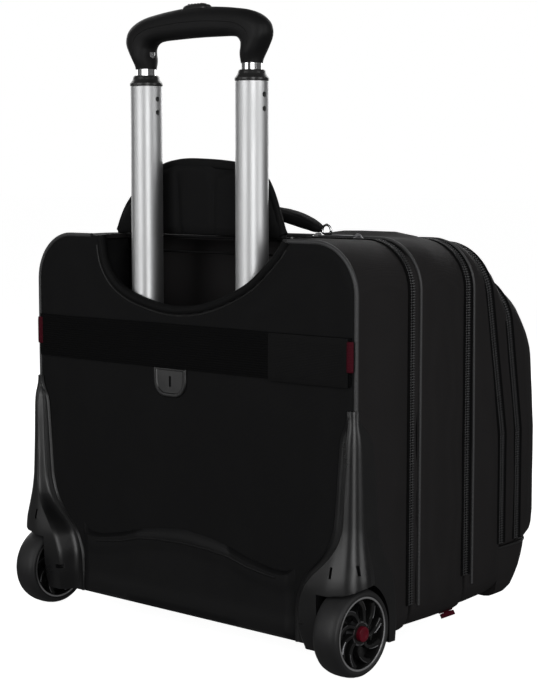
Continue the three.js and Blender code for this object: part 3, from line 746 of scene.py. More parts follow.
def edge_piping():
    """The cord sewn into the rear panel's edge, down to the corner guards; its grey is partly its own colour
    and partly a painted highlight along it.
    """
    corner = arc(HALF - TOP_CORNER, TOP - TOP_CORNER, TOP_CORNER, 0, 90, 14)
    for name, s in SIDES.items():
        points = [(HALF, 229), (HALF, 260), (HALF, 300)] + corner
        points += [(HALF - TOP_CORNER - 18, TOP), (127, TOP)]
        path = respaced([(s * (x + 0.4), REAR - 2.2, z + 0.2) for x, z in points], 4)
        cord(f"edge_piping_{name}", path, oval(2.1, 2.1, 10), PIPING_PAINTED_HIGHLIGHT)


def kick_top(x):
    """Height of the moulded base's top edge."""
    table = [(0, 105), (35, 102), (60, 98), (82, 91), (102, 87), (118, 84.5), (132, 85.5), (139.5, 93)]
    return ramp(table, abs(x))[0]


def kick_plate():
    """The moulded base between the wheel housings, with a soft rib that follows its wave."""
    low, high = span("kick_plate")
    xs = [mix(-high.x, high.x, i / 48) for i in range(49)]
    front, back = [], []
    for x in xs:
        top = kick_top(x)
        column, flat = [], []
        for j in range(17):
            z = mix(low.z, top, j / 16)
            edge = min(top - z, z - low.z, high.x - abs(x))
            rise = 4.6 * math.sqrt(1 - (1 - min(max(edge, 0) / 4.5, 1)) ** 2)
            field = 0.9 * smooth((top - z - 12) / 10) * smooth((z - 34) / 12)
            column.append((x, low.y + 0.4 + rise - field, z))
            flat.append((x, low.y, z))
        front.append(column)
        back.append(flat)
    made = Mesh().slab(front, back)
    made.make("kick_plate_moulding", [BASE_PLASTIC], "case_back", "moulding", ["kick_plate"])
    xs = [mix(-118, 118, i / 40) for i in range(41)]
    rib = [(x, high.y - 0.6, kick_top(x) - 13 + 0.05 * abs(x)) for x in xs]
    cord("kick_plate_rib", rib, oval(1.5, 1.1, 10), BASE_PLASTIC, slot_name="moulding", up=(0, 1, 0))


def strap():
    """The band that slips over another case's handle, with its overlapped end, and the crimson end tabs."""
    low, high = span("luggage_strap")
    xs = [mix(low.x - 1, high.x + 1, i / 60) for i in range(61)]

    def band(xs, z0, z1, lift, thick):
        rows_out, rows_in = [], []
        for x in xs:
            out, inn = [], []
            for j in range(13):
                z = mix(z0, z1, j / 12)
                edge = min(z - z0, z1 - z)
                soft = 0.5 * (1 - min(edge / 2, 1)) ** 2
                y = REAR + max(panel_offset(x, z), -0.2) + lift
                out.append((x, y + thick - soft + 0.25 * rumple(x, 0, z, 40, 8), z))
                inn.append((x, y, z))
            rows_out.append(out)
            rows_in.append(inn)
        return Mesh().slab(rows_out, rows_in)

    made = band(xs, low.z, high.z, 0.3, 1.9)
    made.make("luggage_strap_band", [WEBBING], "case_back", "webbing", ["luggage_strap"])
    over = [mix(-199, -110, i / 18) for i in range(19)]
    made = band(over, low.z - 1.5, high.z - 0.5, 2.3, 1.1)
    made.make("luggage_strap_patch", [BINDING], "case_back", "webbing")
    for name, s in SIDES.items():
        fold = ((197.4, 0.8), (198.4, 2.6), (200.2, 3.3), (202.0, 2.8), (203.4, 1.0))
        path = respaced(curve([(s * x, REAR + lift, 283.5) for x, lift in fold], 4), 1.5)
        section = oval(1.1, 13.5, 20, 6)
        cord(f"crimson_tab_{name}", path, section, CRIMSON, slot_name="red_plastic", up=(0, 0, 1))


def u_tab():
    """The moulded tongue under the strap: a raised U, a lower middle, and a short slot."""
    low, high = span("strap_tab")
    cx, half = (low.x + high.x) / 2, (high.x - low.x) / 2
    base_y = REAR + 1.4
    outer = [(half, high.z), (half, low.z + 17)] + arc(half - 15, low.z + 15, 15, 0, -90, 6)
    outline = [(cx + x, z) for x, z in outer] + [(cx - x, z) for x, z in reversed(outer)]
    made = Mesh()
    rows = []
    for inset, lift in ((0, -1.5), (0, 1.0), (0.7, 1.9), (2.2, 2.2), (3.6, 1.9), (4.4, 1.0), (5.4, 0.9)):
        row = []
        for x, z in outline:
            centre_z = (low.z + high.z) / 2 + 4
            away = Vector((x - cx, z - centre_z))
            f = max(1 - inset / max(away.length, 1), 0)
            row.append((cx + away.x * f, base_y + lift, centre_z + away.y * f))
        rows.append(row)
    made.tube(rows)
    obj = made.make("strap_tongue", [PLASTIC], "case_back", "moulding", ["strap_tab"], angle=30)
    slot = box_cutter((cx - 1.5, base_y - 4, low.z + 10), (cx + 1.5, base_y + 5, low.z + 20))
    cut(obj, slot, angle=30)


# ---------------------------------------------------------------- corner guards and wheels

# Height, reach along the back and the side, how far the body stands out behind and to the side,
# how far the raised part runs along the back and the side, and how deep the body goes into the case.
GUARD = [
    (22, 64, 60, 13, 7, 46, 18, 56),
    (30, 65, 61, 16, 8, 49, 20, 56),
    (42, 65, 62, 18.5, 9, 51, 22, 56),
    (62, 64, 61, 20, 11, 51, 20, 56),
    (78, 58, 58, 20.5, 14, 46, 17, 52),
    (88, 51, 54, 19.5, 14, 38, 15, 40),
    (93, 45, 50, 18.5, 13.4, 32, 14, 3),
    (104, 34, 43, 15.5, 11.6, 20, 11.5, 0.4),
    (118, 25, 37, 12, 9.6, 11, 9, 0.4),
    (134, 20, 34, 9.4, 8.4, 7, 7, 0.4),
    (173, 17, 31, 7.8, 7.4, 5, 6, 0.4),
    (205, 14.5, 26, 7.2, 6.8, 4.5, 5.5, 0.4),
    (216, 13, 20, 6.6, 6.2, 4, 5, 0.4),
    (222, 9.5, 10, 5.6, 5.2, 4, 4, 0.4),
    (226, 6.5, 6, 3.8, 3.6, 4, 4, 0.4),
    (236.5, 5.5, 5, 3.2, 3.0, 4, 4, 0.4),
]


def softened(table, x, reach):
    """A table read with its corners rounded off."""
    near = [ramp(table, x + reach * k / 4) for k in range(-4, 5)]
    return [sum(column) / 9 for column in zip(*near)]


def guard(s):
    rows = []
    zs = sorted({round(mix(a[0], b[0], k / 4), 2) for a, b in zip(GUARD, GUARD[1:]) for k in range(5)})
    edge, rear, radius = HALF + 0.5, REAR + 0.5, 4
    quarter_turn = radius * math.pi / 4
    for z in zs:
        inner, side, behind, beside, back_run, side_run = softened(GUARD, z, 5)[:6]
        deep = max(ramp(GUARD, z)[6], 2.5)
        row = [(edge - inner, rear), (edge - deep, rear), (edge - deep, rear - deep), (edge, rear - deep)]
        row.append((edge, rear - side))
        widen = 5 * smooth((100 - z) / 20)
        q, half_side, half_back = quarter_turn, (5.5 + widen) / 2, (6.5 + widen) / 2
        turns = [-side, -side + 0.6, -side + 1.6, -side + 3]
        turns += [-side_run - half_side, -max(side_run - half_side, q + 0.3), -q]
        turns += [q, max(back_run - half_back, q + 0.3), back_run + half_back]
        turns += [inner - 4, inner - 2.6, inner - 1.4, inner - 0.6, inner]
        pieces = [1, 1, 1, 4, 6, 3, 6, 5, 6, 4, 1, 1, 1, 1]
        distances = [inner]
        for a, b, n in zip(turns, turns[1:], pieces):
            distances += [mix(a, b, k / n) for k in range(n)]
        for d in sorted(min(max(d, -side), inner) for d in distances):
            margin = max(min(d + side, inner - d), 0)
            plate = 1.1 * min(margin, 1) + 1.3 * math.exp(-(((margin - 1.6) / 1.1) ** 2)) * (d > 0)
            across = smooth((d / 14 + 1) / 2)
            height = mix(beside, behind, across) - 1.1
            fall = mix(5.5, 6.5, across) + widen
            run = mix(side_run, back_run, across)
            h = 0.2 + plate + height * smooth((run + fall / 2 - abs(d)) / fall)
            if abs(d) < quarter_turn:
                a = math.radians(45) + d / radius
                x, y = edge - radius + (radius + h) * math.cos(a), rear - radius + (radius + h) * math.sin(a)
            elif d < 0:
                x, y = edge + h, rear - radius + (d + quarter_turn)
            else:
                x, y = edge - radius - (d - quarter_turn), rear + h
            row.append((x, y))
        rows.append([(s * x, y, z) for x, y in row])
    made = Mesh().tube(rows)
    name = "right" if s > 0 else "left"
    obj = made.make(f"corner_guard_{name}", [PLASTIC], "case_back", "moulding", [f"wheel_housing_{name}"])
    x_in = WHEEL.x - WHEEL_HALF - 4
    cutters = [round_cutter(44.5, x_in, 260, (0, WHEEL.y, WHEEL.z), "x", 64, s)]
    x0, x1 = sorted((s * x_in, s * 260))
    cutters.append(box_cutter((x0, WHEEL.y, -10), (x1, 240, WHEEL.z + 28)))
    cutters.append(box_cutter((x0, WHEEL.y - 44.5, -10), (x1, 240, WHEEL.z)))
    for x, z0, z1, width, y in ((193, 91, 101, 2.4, REAR + 12), (158, 45, 49, 9, REAR + 14)):
        a, b = sorted((s * (x - width / 2), s * (x + width / 2)))
        cutters.append(box_cutter((a, y, z0), (b, y + 30, z1)))
    a, b = sorted((s * 213, s * 230))
    cutters.append(box_cutter((a, REAR + 6, 95), (b, REAR + 8.4, 104)))
    cut(obj, *cutters, angle=32)


def wheel(name, s):
    body = f"wheel_{name}"
    centre = (s * WHEEL.x, WHEEL.y, WHEEL.z)
    half = WHEEL_HALF
    shoulder = [(32.5, 2.5), (33, 0.8), (34.5, 0), (36.6, 0.6), (38.2, 2.6), (39.2, 5.5), (39.8, 9)]
    profile = [(r, a - half) for r, a in shoulder] + [(40, 0)] + [(r, half - a) for r, a in shoulder[::-1]]
    profile.append(profile[0])
    tread = (f"tyre_tread_{name}", TYRE, body, "tyre", profile, centre, "x", 72)
    turned(*tread, [f"tyre_{name}"], 50, s)
    hub = Mesh()
    dish = [(32.6, 12.6), (31.0, 12.6), (30.2, 11), (29.6, 6), (29.4, 2.2), (12, 1.6), (10.5, 4)]
    barrel = [(r, -a) for r, a in dish] + [(10, -11.5), (4.3, -12.2), (4.3, 11.4), (9.5, 11.4)]
    barrel += dish[::-1] + [(32.6, -12.6)]
    lathe(hub, barrel, centre, "x", 72, turn=s)
    edges = Mesh()
    for face in (1, -1):
        for k in range(9):
            start = 2 * math.pi * k / 9
            blade = []
            for i in range(9):
                t = i / 8
                radius = mix(9.5, 30.6, t)
                angle = start + face * s * 0.62 * t**1.5
                along = face * mix(12.0, 10.4, math.sin(math.pi * t))
                out = Vector((along * s, radius * math.cos(angle), radius * math.sin(angle)))
                blade.append(Vector(centre) + out)
            inward = Vector((-face * s, 0, 0))
            deep = [p + inward * 3.6 for p in blade]
            hub.sweep(deep, lambda i: oval(mix(1.9, 3.3, (i / 8) ** 2), 3.4, 12, 3.5), up=(1, 0, 0))
            edge = [p + inward * 0.2 for p in blade]
            shifted = swept(edge, [(face * s * 1.5, 0)], up=(1, 0, 0))
            edges.sweep([row[0] for row in shifted[4:8]], oval(0.5, 0.45, 8), 1, up=(1, 0, 0))
    hub.make(f"wheel_spokes_{name}", [WHEEL_BLACK], body, "hub_plastic", [f"hub_{name}"], angle=40)
    rim = [(31, 12.3), (31.2, 13), (31.9, 13.25), (32.8, 13.1), (33.1, 12.5), (32.5, 12), (31, 12.3)]
    for face in (1, -1):
        lathe(edges, [(r, a * face) for r, a in rim], centre, "x", 72, turn=s)
    edges.make(f"wheel_silver_edges_{name}", [WHEEL_SILVER, STEEL], body, "tube_chrome", angle=40)
    dome = [(0.01, 14.6), (3.4, 14.6), (4.2, 15), (5.6, 15.2), (6.6, 14.8), (6.9, 13.6), (6.9, 11)]
    dome.append((0.01, 11))
    cap = (f"wheel_cap_{name}", RED, body, "red_plastic", dome, centre, "x", 40)
    turned(*cap, [f"hub_cap_{name}"], 40, s)
    hexagon = [(0.01, -13.2), (4.6, -13.2), (5.4, -12.6), (5.4, -11.6), (0.01, -11.6)]
    turned(f"wheel_inner_nut_{name}", STEEL, body, "steel", hexagon, centre, "x", 6, angle=30, turn=s)


# ---------------------------------------------------------------- pull handle


def handle_tubes():
    """The raised middle tubes, each with its snap pins and its collar."""
    for name, s in SIDES.items():
        stage, top = "handle_middle_stage", (s * TUBE.x, TUBE.y, TUBE_TOP)
        r, foot = TUBE_RADIUS, TUBE_LOW - TUBE_TOP
        profile = [(r, foot)] + [(r, z - TUBE_TOP) for z in (330, 400, 460)]
        profile += [(r, -0.8), (r - 0.6, 0), (r - 1.4, 0), (r - 1.4, foot), (r, foot)]
        tube = (f"handle_tube_{name}", ALUMINIUM, stage, "tube_aluminium", profile, top, "z", 64)
        obj = turned(*tube, [f"mid_tube_{name}"], 40)
        holes = [(top[0], top[1], TUBE_TOP - below) for below in (12.6, 25.4)]
        cut(obj, *(round_cutter(2.5, -30, -6, hole, "x", 24) for hole in holes), angle=40)
        pins = Mesh()
        for hole in holes:
            lathe(pins, [(0.01, -13.6), (2.2, -13.6), (2.5, -13.2), (2.5, -11), (0.01, -11)], hole, "x", 20)
        pins.make(f"snap_pins_{name}", [BUTTON], stage, "moulding", angle=40)
        neck = NECK_RADIUS + 0.3
        profile = [(neck, -20), (13.6, -20), (13.6, 0.3), (15.7, 0.3), (15.9, 1), (15.8, 2.6), (15.2, 3.4)]
        profile += [(13.4, 5.6), (13.1, 6.6), (12.9, 7), (12.7, 8.6), (11.8, 9.9), (neck + 0.4, 10)]
        profile += [(neck, 9.4), (neck, -20)]
        collar = (f"handle_collar_{name}", BUTTON, stage, "moulding", profile, top, "z", 56)
        turned(*collar, [f"tube_collar_{name}"], 28)


# The grip seen from the back: a point outside and the point inside across from it, from one foot
# to the middle of the top.
GRIP_PAIRS = [
    ((-77.6, 541), (-58.4, 541)),
    ((-78.2, 545), (-58.2, 545)),
    ((-80.6, 550.5), (-58.6, 550)),
    ((-84.6, 557), (-59.2, 555)),
    ((-88.6, 564), (-58.6, 559.5)),
    ((-89.6, 570), (-56, 563)),
    ((-87, 577.5), (-52, 565.2)),
    ((-79, 584), (-46, 566.2)),
    ((-66, 589), (-40, 566.6)),
    ((-48, 592), (-30, 566.8)),
    ((-30, 594), (-20, 567)),
    ((-12, 595.2), (-8, 567.2)),
]


def grip():
    depth_half = 13
    pairs = GRIP_PAIRS + [((-a[0], a[1]), (-b[0], b[1])) for a, b in reversed(GRIP_PAIRS)]
    outer = curve([(x, 0, z) for (x, z), _ in pairs], 4)
    inner = curve([(x, 0, z) for _, (x, z) in pairs], 4)
    rows = []
    last = len(outer) - 1
    for i, (a, b) in enumerate(zip(outer, inner)):
        middle, reach = (a + b) / 2, (a - b) / 2
        end = smooth(min(i, last - i) / 10)
        thick = mix(9.6, depth_half, end)
        row = []
        for u, v in oval(1, 1, 24, 2.35):
            row.append((middle.x + reach.x * u, TUBE.y + thick * v, middle.z + reach.z * u))
        rows.append(row)
    made = Mesh().tube(rows)
    obj = made.make("handle_grip", [GRIP], "handle_inner_stage", "grip_rubber", ["grip"], angle=50)
    low, high = span("grip_button")
    cut(obj, box_cutter((low.x - 0.6, low.y - 0.6, low.z - 4.5), (high.x + 0.6, high.y + 0.6, 620)), angle=40)
    dress(CHROME, "inner_tube_left", "inner_tube_right")
    seam = Mesh()
    for y in (TUBE.y + 12.4, TUBE.y - 12.4):
        line = [Vector(((a.x + b.x) / 2, y, (a.z + b.z) / 2)) for a, b in zip(outer[12:-12], inner[12:-12])]
        seam.sweep(line, oval(0.35, 0.9, 8), up=(0, 1, 0))
    seam.make("grip_part_line", [GRIP], "handle_inner_stage", "grip_rubber")


def button():
    low, high = span("grip_button")
    rows = []
    cx, cy = (low.x + high.x) / 2, (low.y + high.y) / 2
    half_x, half_y = (high.x - low.x) / 2, (high.y - low.y) / 2
    edge = ((4.5, 0.2), (2.4, 0.7), (1.0, 1.8), (0.3, 3.4), (0, 5.4))
    for z, inset in [(low.z, 0.2)] + [(high.z - below, inset) for below, inset in edge]:
        row = []
        for u, v in oval(1, 1, 40, 4.5):
            dome = -0.6 * abs(u) ** 2 if z > high.z - 4 else 0
            row.append((cx + u * (half_x - inset), cy + v * (half_y - inset * 0.8), z + dome))
        rows.append(row)
    made = Mesh().tube(rows)
    for x in (-8, -4, 0, 4, 8):
        line = [Vector((cx + x, cy + y, high.z - 0.1 - 0.04 * abs(y))) for y in (-3.6, -2, 0, 2, 3.6)]
        made.sweep(line, oval(0.7, 0.5, 8), up=(0, 0, 1))
    made.make("grip_release_button", [BUTTON], "release_button", "button_plastic", ["grip_button"], angle=40)


# ---------------------------------------------------------------- cloth


def inflate(obj, cap, voxel, levels=1):
    """Pads a closed shape by cloth simulation, with each point kept within cap millimetres of its start."""
    remesh = obj.modifiers.new("remesh", "REMESH")
    remesh.mode = "VOXEL"
    remesh.voxel_size = voxel * MM
    apply(obj)
    start = [v.co.copy() for v in obj.data.vertices]
    frames = 20
    scene = bpy.context.scene
    cloth = obj.modifiers.new("cloth", "CLOTH")
    cloth.settings.use_pressure = True
    cloth.settings.uniform_pressure_force = 4
    cloth.settings.effector_weights.gravity = 0
    cloth.settings.tension_stiffness = 20
    cloth.settings.bending_stiffness = 2
    cloth.point_cache.frame_start = 1
    cloth.point_cache.frame_end = frames
    for f in range(1, frames + 1):
        scene.frame_set(f)
    graph = bpy.context.evaluated_depsgraph_get()
    moved = [v.co.copy() for v in obj.evaluated_get(graph).data.vertices]
    obj.modifiers.clear()
    scene.frame_set(1)
    for vertex, a, b in zip(obj.data.vertices, start, moved):
        shift = b - a
        if shift.length > cap * MM:
            shift *= cap * MM / shift.length
        vertex.co = a + shift
    subdivide = obj.modifiers.new("smooth", "SUBSURF")
    subdivide.levels = levels
    apply(obj)
    finish_mesh(obj, 80)
    return obj


def move_points(obj, shift):
    """Moves each vertex, in millimetres, by shift(x, y, z)."""
    for vertex in obj.data.vertices:
        p = vertex.co / MM
        vertex.co = (p + Vector(shift(p.x, p.y, p.z))) * MM
    finish_mesh(obj, 80)


# ---------------------------------------------------------------- flap over the handle well

# The flap's outline, from the right end of its hem to the left end.
FLAP = [(131, 381.8), (127, 393), (117, 410), (99, 428), (78.5, 443), (64.6, 450)]
FLAP += [(48, 453.6), (30.8, 455), (8, 454.4), (-14, 452.6), (-36, 449.4), (-52, 445.5)]
FLAP += [(-66, 438), (-76, 422), (-84, 401), (-91, 381.8)]


def well_flap():
    low, high = span("well_flap")
    outline = [(p.x, p.z) for p in respaced(curve([(x, 0, z) for x, z in FLAP], 5), 6)]
    middle = (low.y + high.y) / 2
    rows = []
    behind = [(high.y - 1.2, 1.2), (high.y - 0.8, 3.0)]
    for y, inset in [(low.y + 0.8, 3.0), (low.y + 1.2, 1.2), (middle, 0.4)] + behind:
        row = []
        for x, z in outline:
            away = Vector((x - 16, z - 405))
            f = 1 - inset / away.length
            row.append((16 + away.x * f, y, max(405 + away.y * f, 381)))
        rows.append(row)
    obj = Mesh().tube(rows).make("well_flap_cushion", [FABRIC], None, None)
    inflate(obj, 3.2, voxel=4.0)

    def channels(x, y, z):
        """Soft upright channels, and the bound edge."""
        side = 1 if y > middle else -1
        groove = 0
        for c in (-44, -2, 40, 84):
            away = x - c - 0.05 * (z - 380) * (1 if c > 16 else -1)
            groove += math.exp(-((away / 3.0) ** 2))
        fade = smooth((450 - z) / 20)
        across = -side * 1.9 * groove * fade + 0.5 * rumple(x, y, z, 26, 11)
        return (0.025 * (x - 16), across, 0.03 * max(z - 405, 0) - 3.5 * smooth((394 - z) / 10))

    move_points(obj, channels)
    placed(obj, "well_flap", ["well_flap"])
    edge = []
    for x, z in outline:
        away = Vector((x - 16, z - 405))
        f = 1 - 3.4 / away.length
        edge.append((16 + away.x * f, middle, max(405 + away.y * f, 384.5)))
    cord("well_flap_binding", edge, oval(4.6, 3.3, 14, 3), BINDING, "well_flap", up=(0, 1, 0))
    hem = [(x, middle, 380.9 + 0.3 * rumple(x, 0, 0, 12, 4)) for x in range(-90, 130, 4)]
    cord("well_flap_hem", hem, oval(2.0, 1.4, 10), BINDING, up=(0, 0, 1))


# ---------------------------------------------------------------- compartments

MID = [
    {"y": 53.5, "half": 205, "low": 25.6, "high": 381},
    {"y": 15, "half": 206, "low": 25.6, "high": 381},
    {"y": -26.5, "half": 205, "low": 25.6, "high": 379},
]
ORGANISER = [
    {"y": -32.5, "half": 205, "low": 28.6, "high": 378.5},
    {"y": -48, "half": 205, "low": 29.2, "high": 378},
    {"y": -64, "half": 205, "low": 30, "high": 378},
    {"y": -78, "half": 205, "low": 31, "high": 377.5},
    {"y": -88.5, "half": 204.5, "low": 32, "high": 376},
]
POCKET = [
    {"y": -94.5, "half": 204, "low": 77.4, "high": 374.5, "bottom": 5},
    {"y": -107, "half": 203.5, "low": 77.4, "high": 366.5, "bottom": 5},
    {"y": -118.5, "half": 203, "low": 77.4, "high": 347, "bottom": 5},
]
LID = [
    {"y": -124.5, "half": 202, "low": 79.2, "high": 341, "bottom": 5},
    {"y": -140, "half": 201.5, "low": 79.2, "high": 334, "bottom": 6},
    {"y": -157, "half": 198, "low": 80.2, "high": 310, "bottom": 12},
    {"y": -168, "half": 188.5, "low": 100, "high": 274, "bottom": 18},
    {"y": -174.5, "half": 170, "low": 132, "high": 244, "bottom": 30, "top": 40},
]


def leaf(low_z, high_z, y0, y1):
    """A compartment's thin bottom, running forward to its hinge."""
    half = 160
    rows = []
    for y, thin in ((y0, 0.5), (y0 - 2, 1), ((y0 + y1) / 2, 1), (y1 + 2, 1), (y1, 0.5)):
        middle = (low_z + high_z) / 2
        rows.append([(u * half, y, middle + v * thin * (high_z - low_z) / 2) for u, v in oval(1, 1, 24, 8)])
    return rows


def compartments():
    """The padded trays: each has its wall at the rear and opens forwards, and the lid closes the last."""
    mid = shell(MID, 1, 1.8, 21, cap_crown=1.2)
    mid.tube(leaf(25.7, 28.1, -24, -112))
    cloths = [SIDE_FABRIC_PAINTED_LIT, LINING]
    obj = mid.make("main_compartment", cloths, "main_section", "case_fabric", ["mid_shell"])

    def crowned(x, y, z):
        """The top swells on both sides of the carry handle."""
        across = smooth((abs(x) - 52) / 16) * smooth((172 - abs(x)) / 24)
        return (0, 0, 5.5 * math.exp(-(((y + 2) / 15) ** 2)) * across * (z > 370))

    move_points(obj, crowned)
    organiser = shell(ORGANISER, 1, 1.6, 22, cap_crown=1.2)
    organiser.make("organiser_compartment", cloths, "organiser_section", "case_fabric", ["organiser_shell"])
    pocket = shell(POCKET, 1, 1.1, 23, cap_crown=0.6)
    pocket.tube(leaf(77.5, 78.8, -117, -156))
    pocket.make("front_pocket_wall", cloths, "front_pocket", "case_fabric", ["pocket_shell"])
    lid = shell(LID, -1, 1.6, 24, cap_crown=3.5)
    lid.make("front_pocket_panel", cloths, "pocket_lid", "case_fabric", ["pocket_lid"])


# Height, front face and half width of the stiff base under the pockets.
BASE = [(31, -106, 188), (32, -118, 194), (34, -131, 198), (38, -143, 201), (44, -152, 202.5)]
BASE += [(52, -159, 203), (62, -164, 203), (70, -166.8, 203), (76.2, -168.2, 203), (76.8, -167.4, 202)]


def pocket_base():
    back = -88.9
    rows = []
    for z, front, half in BASE:
        r = min(46, (back - front) * 0.7)
        points = [(half, mix(back, front + r, i / 5)) for i in range(5)]
        points += arc(half - r, front + r, r, 0, -90, 9)
        points += [(mix(half - r, -half + r, i / 12), front) for i in range(1, 12)]
        points += arc(-half + r, front + r, r, -90, -180, 9)
        points += [(-half, mix(front + r, back, i / 5)) for i in range(1, 6)]
        points += [(mix(-half, half, i / 12), back) for i in range(1, 12)]
        skirt = 4 * smooth((50 - z) / 18)
        row = []
        for x, y in points:
            wide, deep = rumple(x, y, z, 30, 12), rumple(x, y, z, 34, 13) * (y < back - 4)
            row.append((x + 0.5 * wide, y - 0.5 * deep, z - skirt * smooth((abs(x) - 163) / 14)))
        rows.append(row)
    made = Mesh().tube(rows)
    made.make("pocket_base_panel", [SIDE_FABRIC_PAINTED_LIT], "organiser_section", "case_fabric", ["pocket_base"], 50)
    z, front, half = 76.9, -168.2, 203.2
    r = 46
    path = [(half, back + 3), (half, -100)] + arc(half - r, front + r, r, 0, -90, 10)
    path += arc(-half + r, front + r, r, -90, -180, 10) + [(-half, -100), (-half, back + 3)]
    line = respaced([(x, y, z) for x, y in path], 5)
    cord("pocket_base_seam", line, oval(1.0, 1.0, 8), DARK_PIPING, "organiser_section")


# ---------------------------------------------------------------- zips and piping

# Half width, top height and foot height of each zip, and the bodies behind and in front of it.
ZIP_RUNS = {
    "overnight": (204, 381, 50, "case_back", "main_section"),
    "main": (205, 379, 62, "main_section", "organiser_section"),
    "organiser": (204.3, 375.2, 82, "organiser_section", "front_pocket"),
    "pocket": (202.5, 344, 82, "front_pocket", "pocket_lid"),
}


def zip_half(name, sign):
    """One tape with its row of teeth; sign is +1 for the half behind the zip."""
    half, high, foot, rear_body, front_body = ZIP_RUNS[name]
    path = over_top_path(half, high, foot, ZIPS[name], 4)
    up = outward_of(path)
    upper = ((0.4, -1.2), (1.6, -0.2), (3.2, 0.9), (6.6, 1.5))
    lower = ((7.4, 1.2), (6.6, 0.6), (3.0, -0.6), (0.4, -2.2))
    tape = [(-sign * u, v) for u, v in upper + lower]
    body = rear_body if sign > 0 else front_body
    side = "rear" if sign > 0 else "front"
    made = Mesh().sweep(path, tape, up=up)
    fine = over_top_path(half, high, foot, ZIPS[name], 0.6)
    up_fine = outward_of(fine)

    def tooth(i):
        full = i % 4 < 2
        reach, rise = (2.0, 1.05) if full else (1.2, 0.05)
        return [(-sign * 2.35 + u, v + 0.35) for u, v in oval(reach, rise, 8)]

    made.sweep(fine, tooth, 1, up=up_fine)
    replaces = [f"zip_chain_{name}"] if sign > 0 else ()
    made.make(f"zip_{name}_{side}_half", [TAPE, COIL], body, "zip_coil", replaces, weld=False)


def zips():
    for name in ZIP_RUNS:
        zip_half(name, 1)
        zip_half(name, -1)


def rim_piping(name, high, foot, y, body, radius, grow):
    path = over_top_path(205 + grow, high + grow, foot, y, 4)
    cord(f"{name}_piping", path, oval(radius, radius, 10), PIPING_PAINTED_HIGHLIGHT, body)


def pipings():
    rim_piping("main_rear", 381, 48, 47.0, "main_section", 1.5, 1.4)
    rim_piping("organiser_rear", 378.5, 52, -39.5, "organiser_section", 1.4, 1.3)


def zip_furniture(name):
    """A slider with its raised bridge, and its flat pull on a wire loop."""
    low, high = span(f"zip_slider_{name}")
    centre = (low + high) / 2
    run = span(f"zip_pull_{name}")
    s = math.copysign(1, (run[0].x + run[1].x) / 2 - centre.x)
    rows = []
    for lift, grow in ((0, 0.8), (0.5, 0.1), (1.4, 0), (2.6, 0.3), (3.4, 1.2), (3.6, 2)):
        z = low.z + lift
        row = []
        for u, v in oval(1, 1, 20, 3.2):
            taper = 1 - 0.22 * (u * s > 0) * abs(u)
            row.append((centre.x + u * (5.9 - grow), centre.y + v * (2.55 - grow * 0.6) * taper, z))
        rows.append(row)
    body = Mesh().tube(rows)
    arch = ((-3.2, 3.2), (-3.0, 4.8), (-1.8, 5.7), (0, 5.95), (1.8, 5.7), (3.0, 4.8), (3.2, 3.2))
    bridge = [(centre.x + x, centre.y, low.z + z) for x, z in arch]
    body.sweep(respaced(curve(bridge, 3), 0.8), oval(1.0, 0.45, 8, 3), up=(0, 1, 0))
    body.make(f"slider_{name}", [STEEL], f"slider_{name}", "steel", [f"zip_slider_{name}"], angle=40)
    z = run[0].z + 0.75
    x0 = centre.x
    pull = Mesh()
    loop = ((0, 1.6), (0, -1.6), (3, -2.0), (6.5, -1.7), (7.5, 0), (6.5, 1.7), (3, 2.0))
    ring = [(x0 + s * x, centre.y + y, z) for x, y in loop]
    pull.sweep(curve(ring, 4, closed=True), oval(0.42, 0.42, 8), closed=True)
    rows = []
    grip_end = ((0.85, 2.5, 0.75), (0.96, 2.1, 0.6), (1, 1.2, 0.35))
    for t, w, h in ((0, 0.8, 0.4), (0.03, 1.6, 0.6), (0.12, 2.0, 0.7), (0.5, 2.3, 0.75)) + grip_end:
        x = x0 + s * mix(6.6, 30.2, t)
        rows.append([(x, centre.y + w * u, z + h * v) for u, v in oval(1, 1, 16, 3)])
    pull.tube(rows)
    pull.make(f"pull_{name}", [STEEL], f"pull_{name}", "steel", [f"zip_pull_{name}"], angle=40)


# ---------------------------------------------------------------- carry handle and small parts


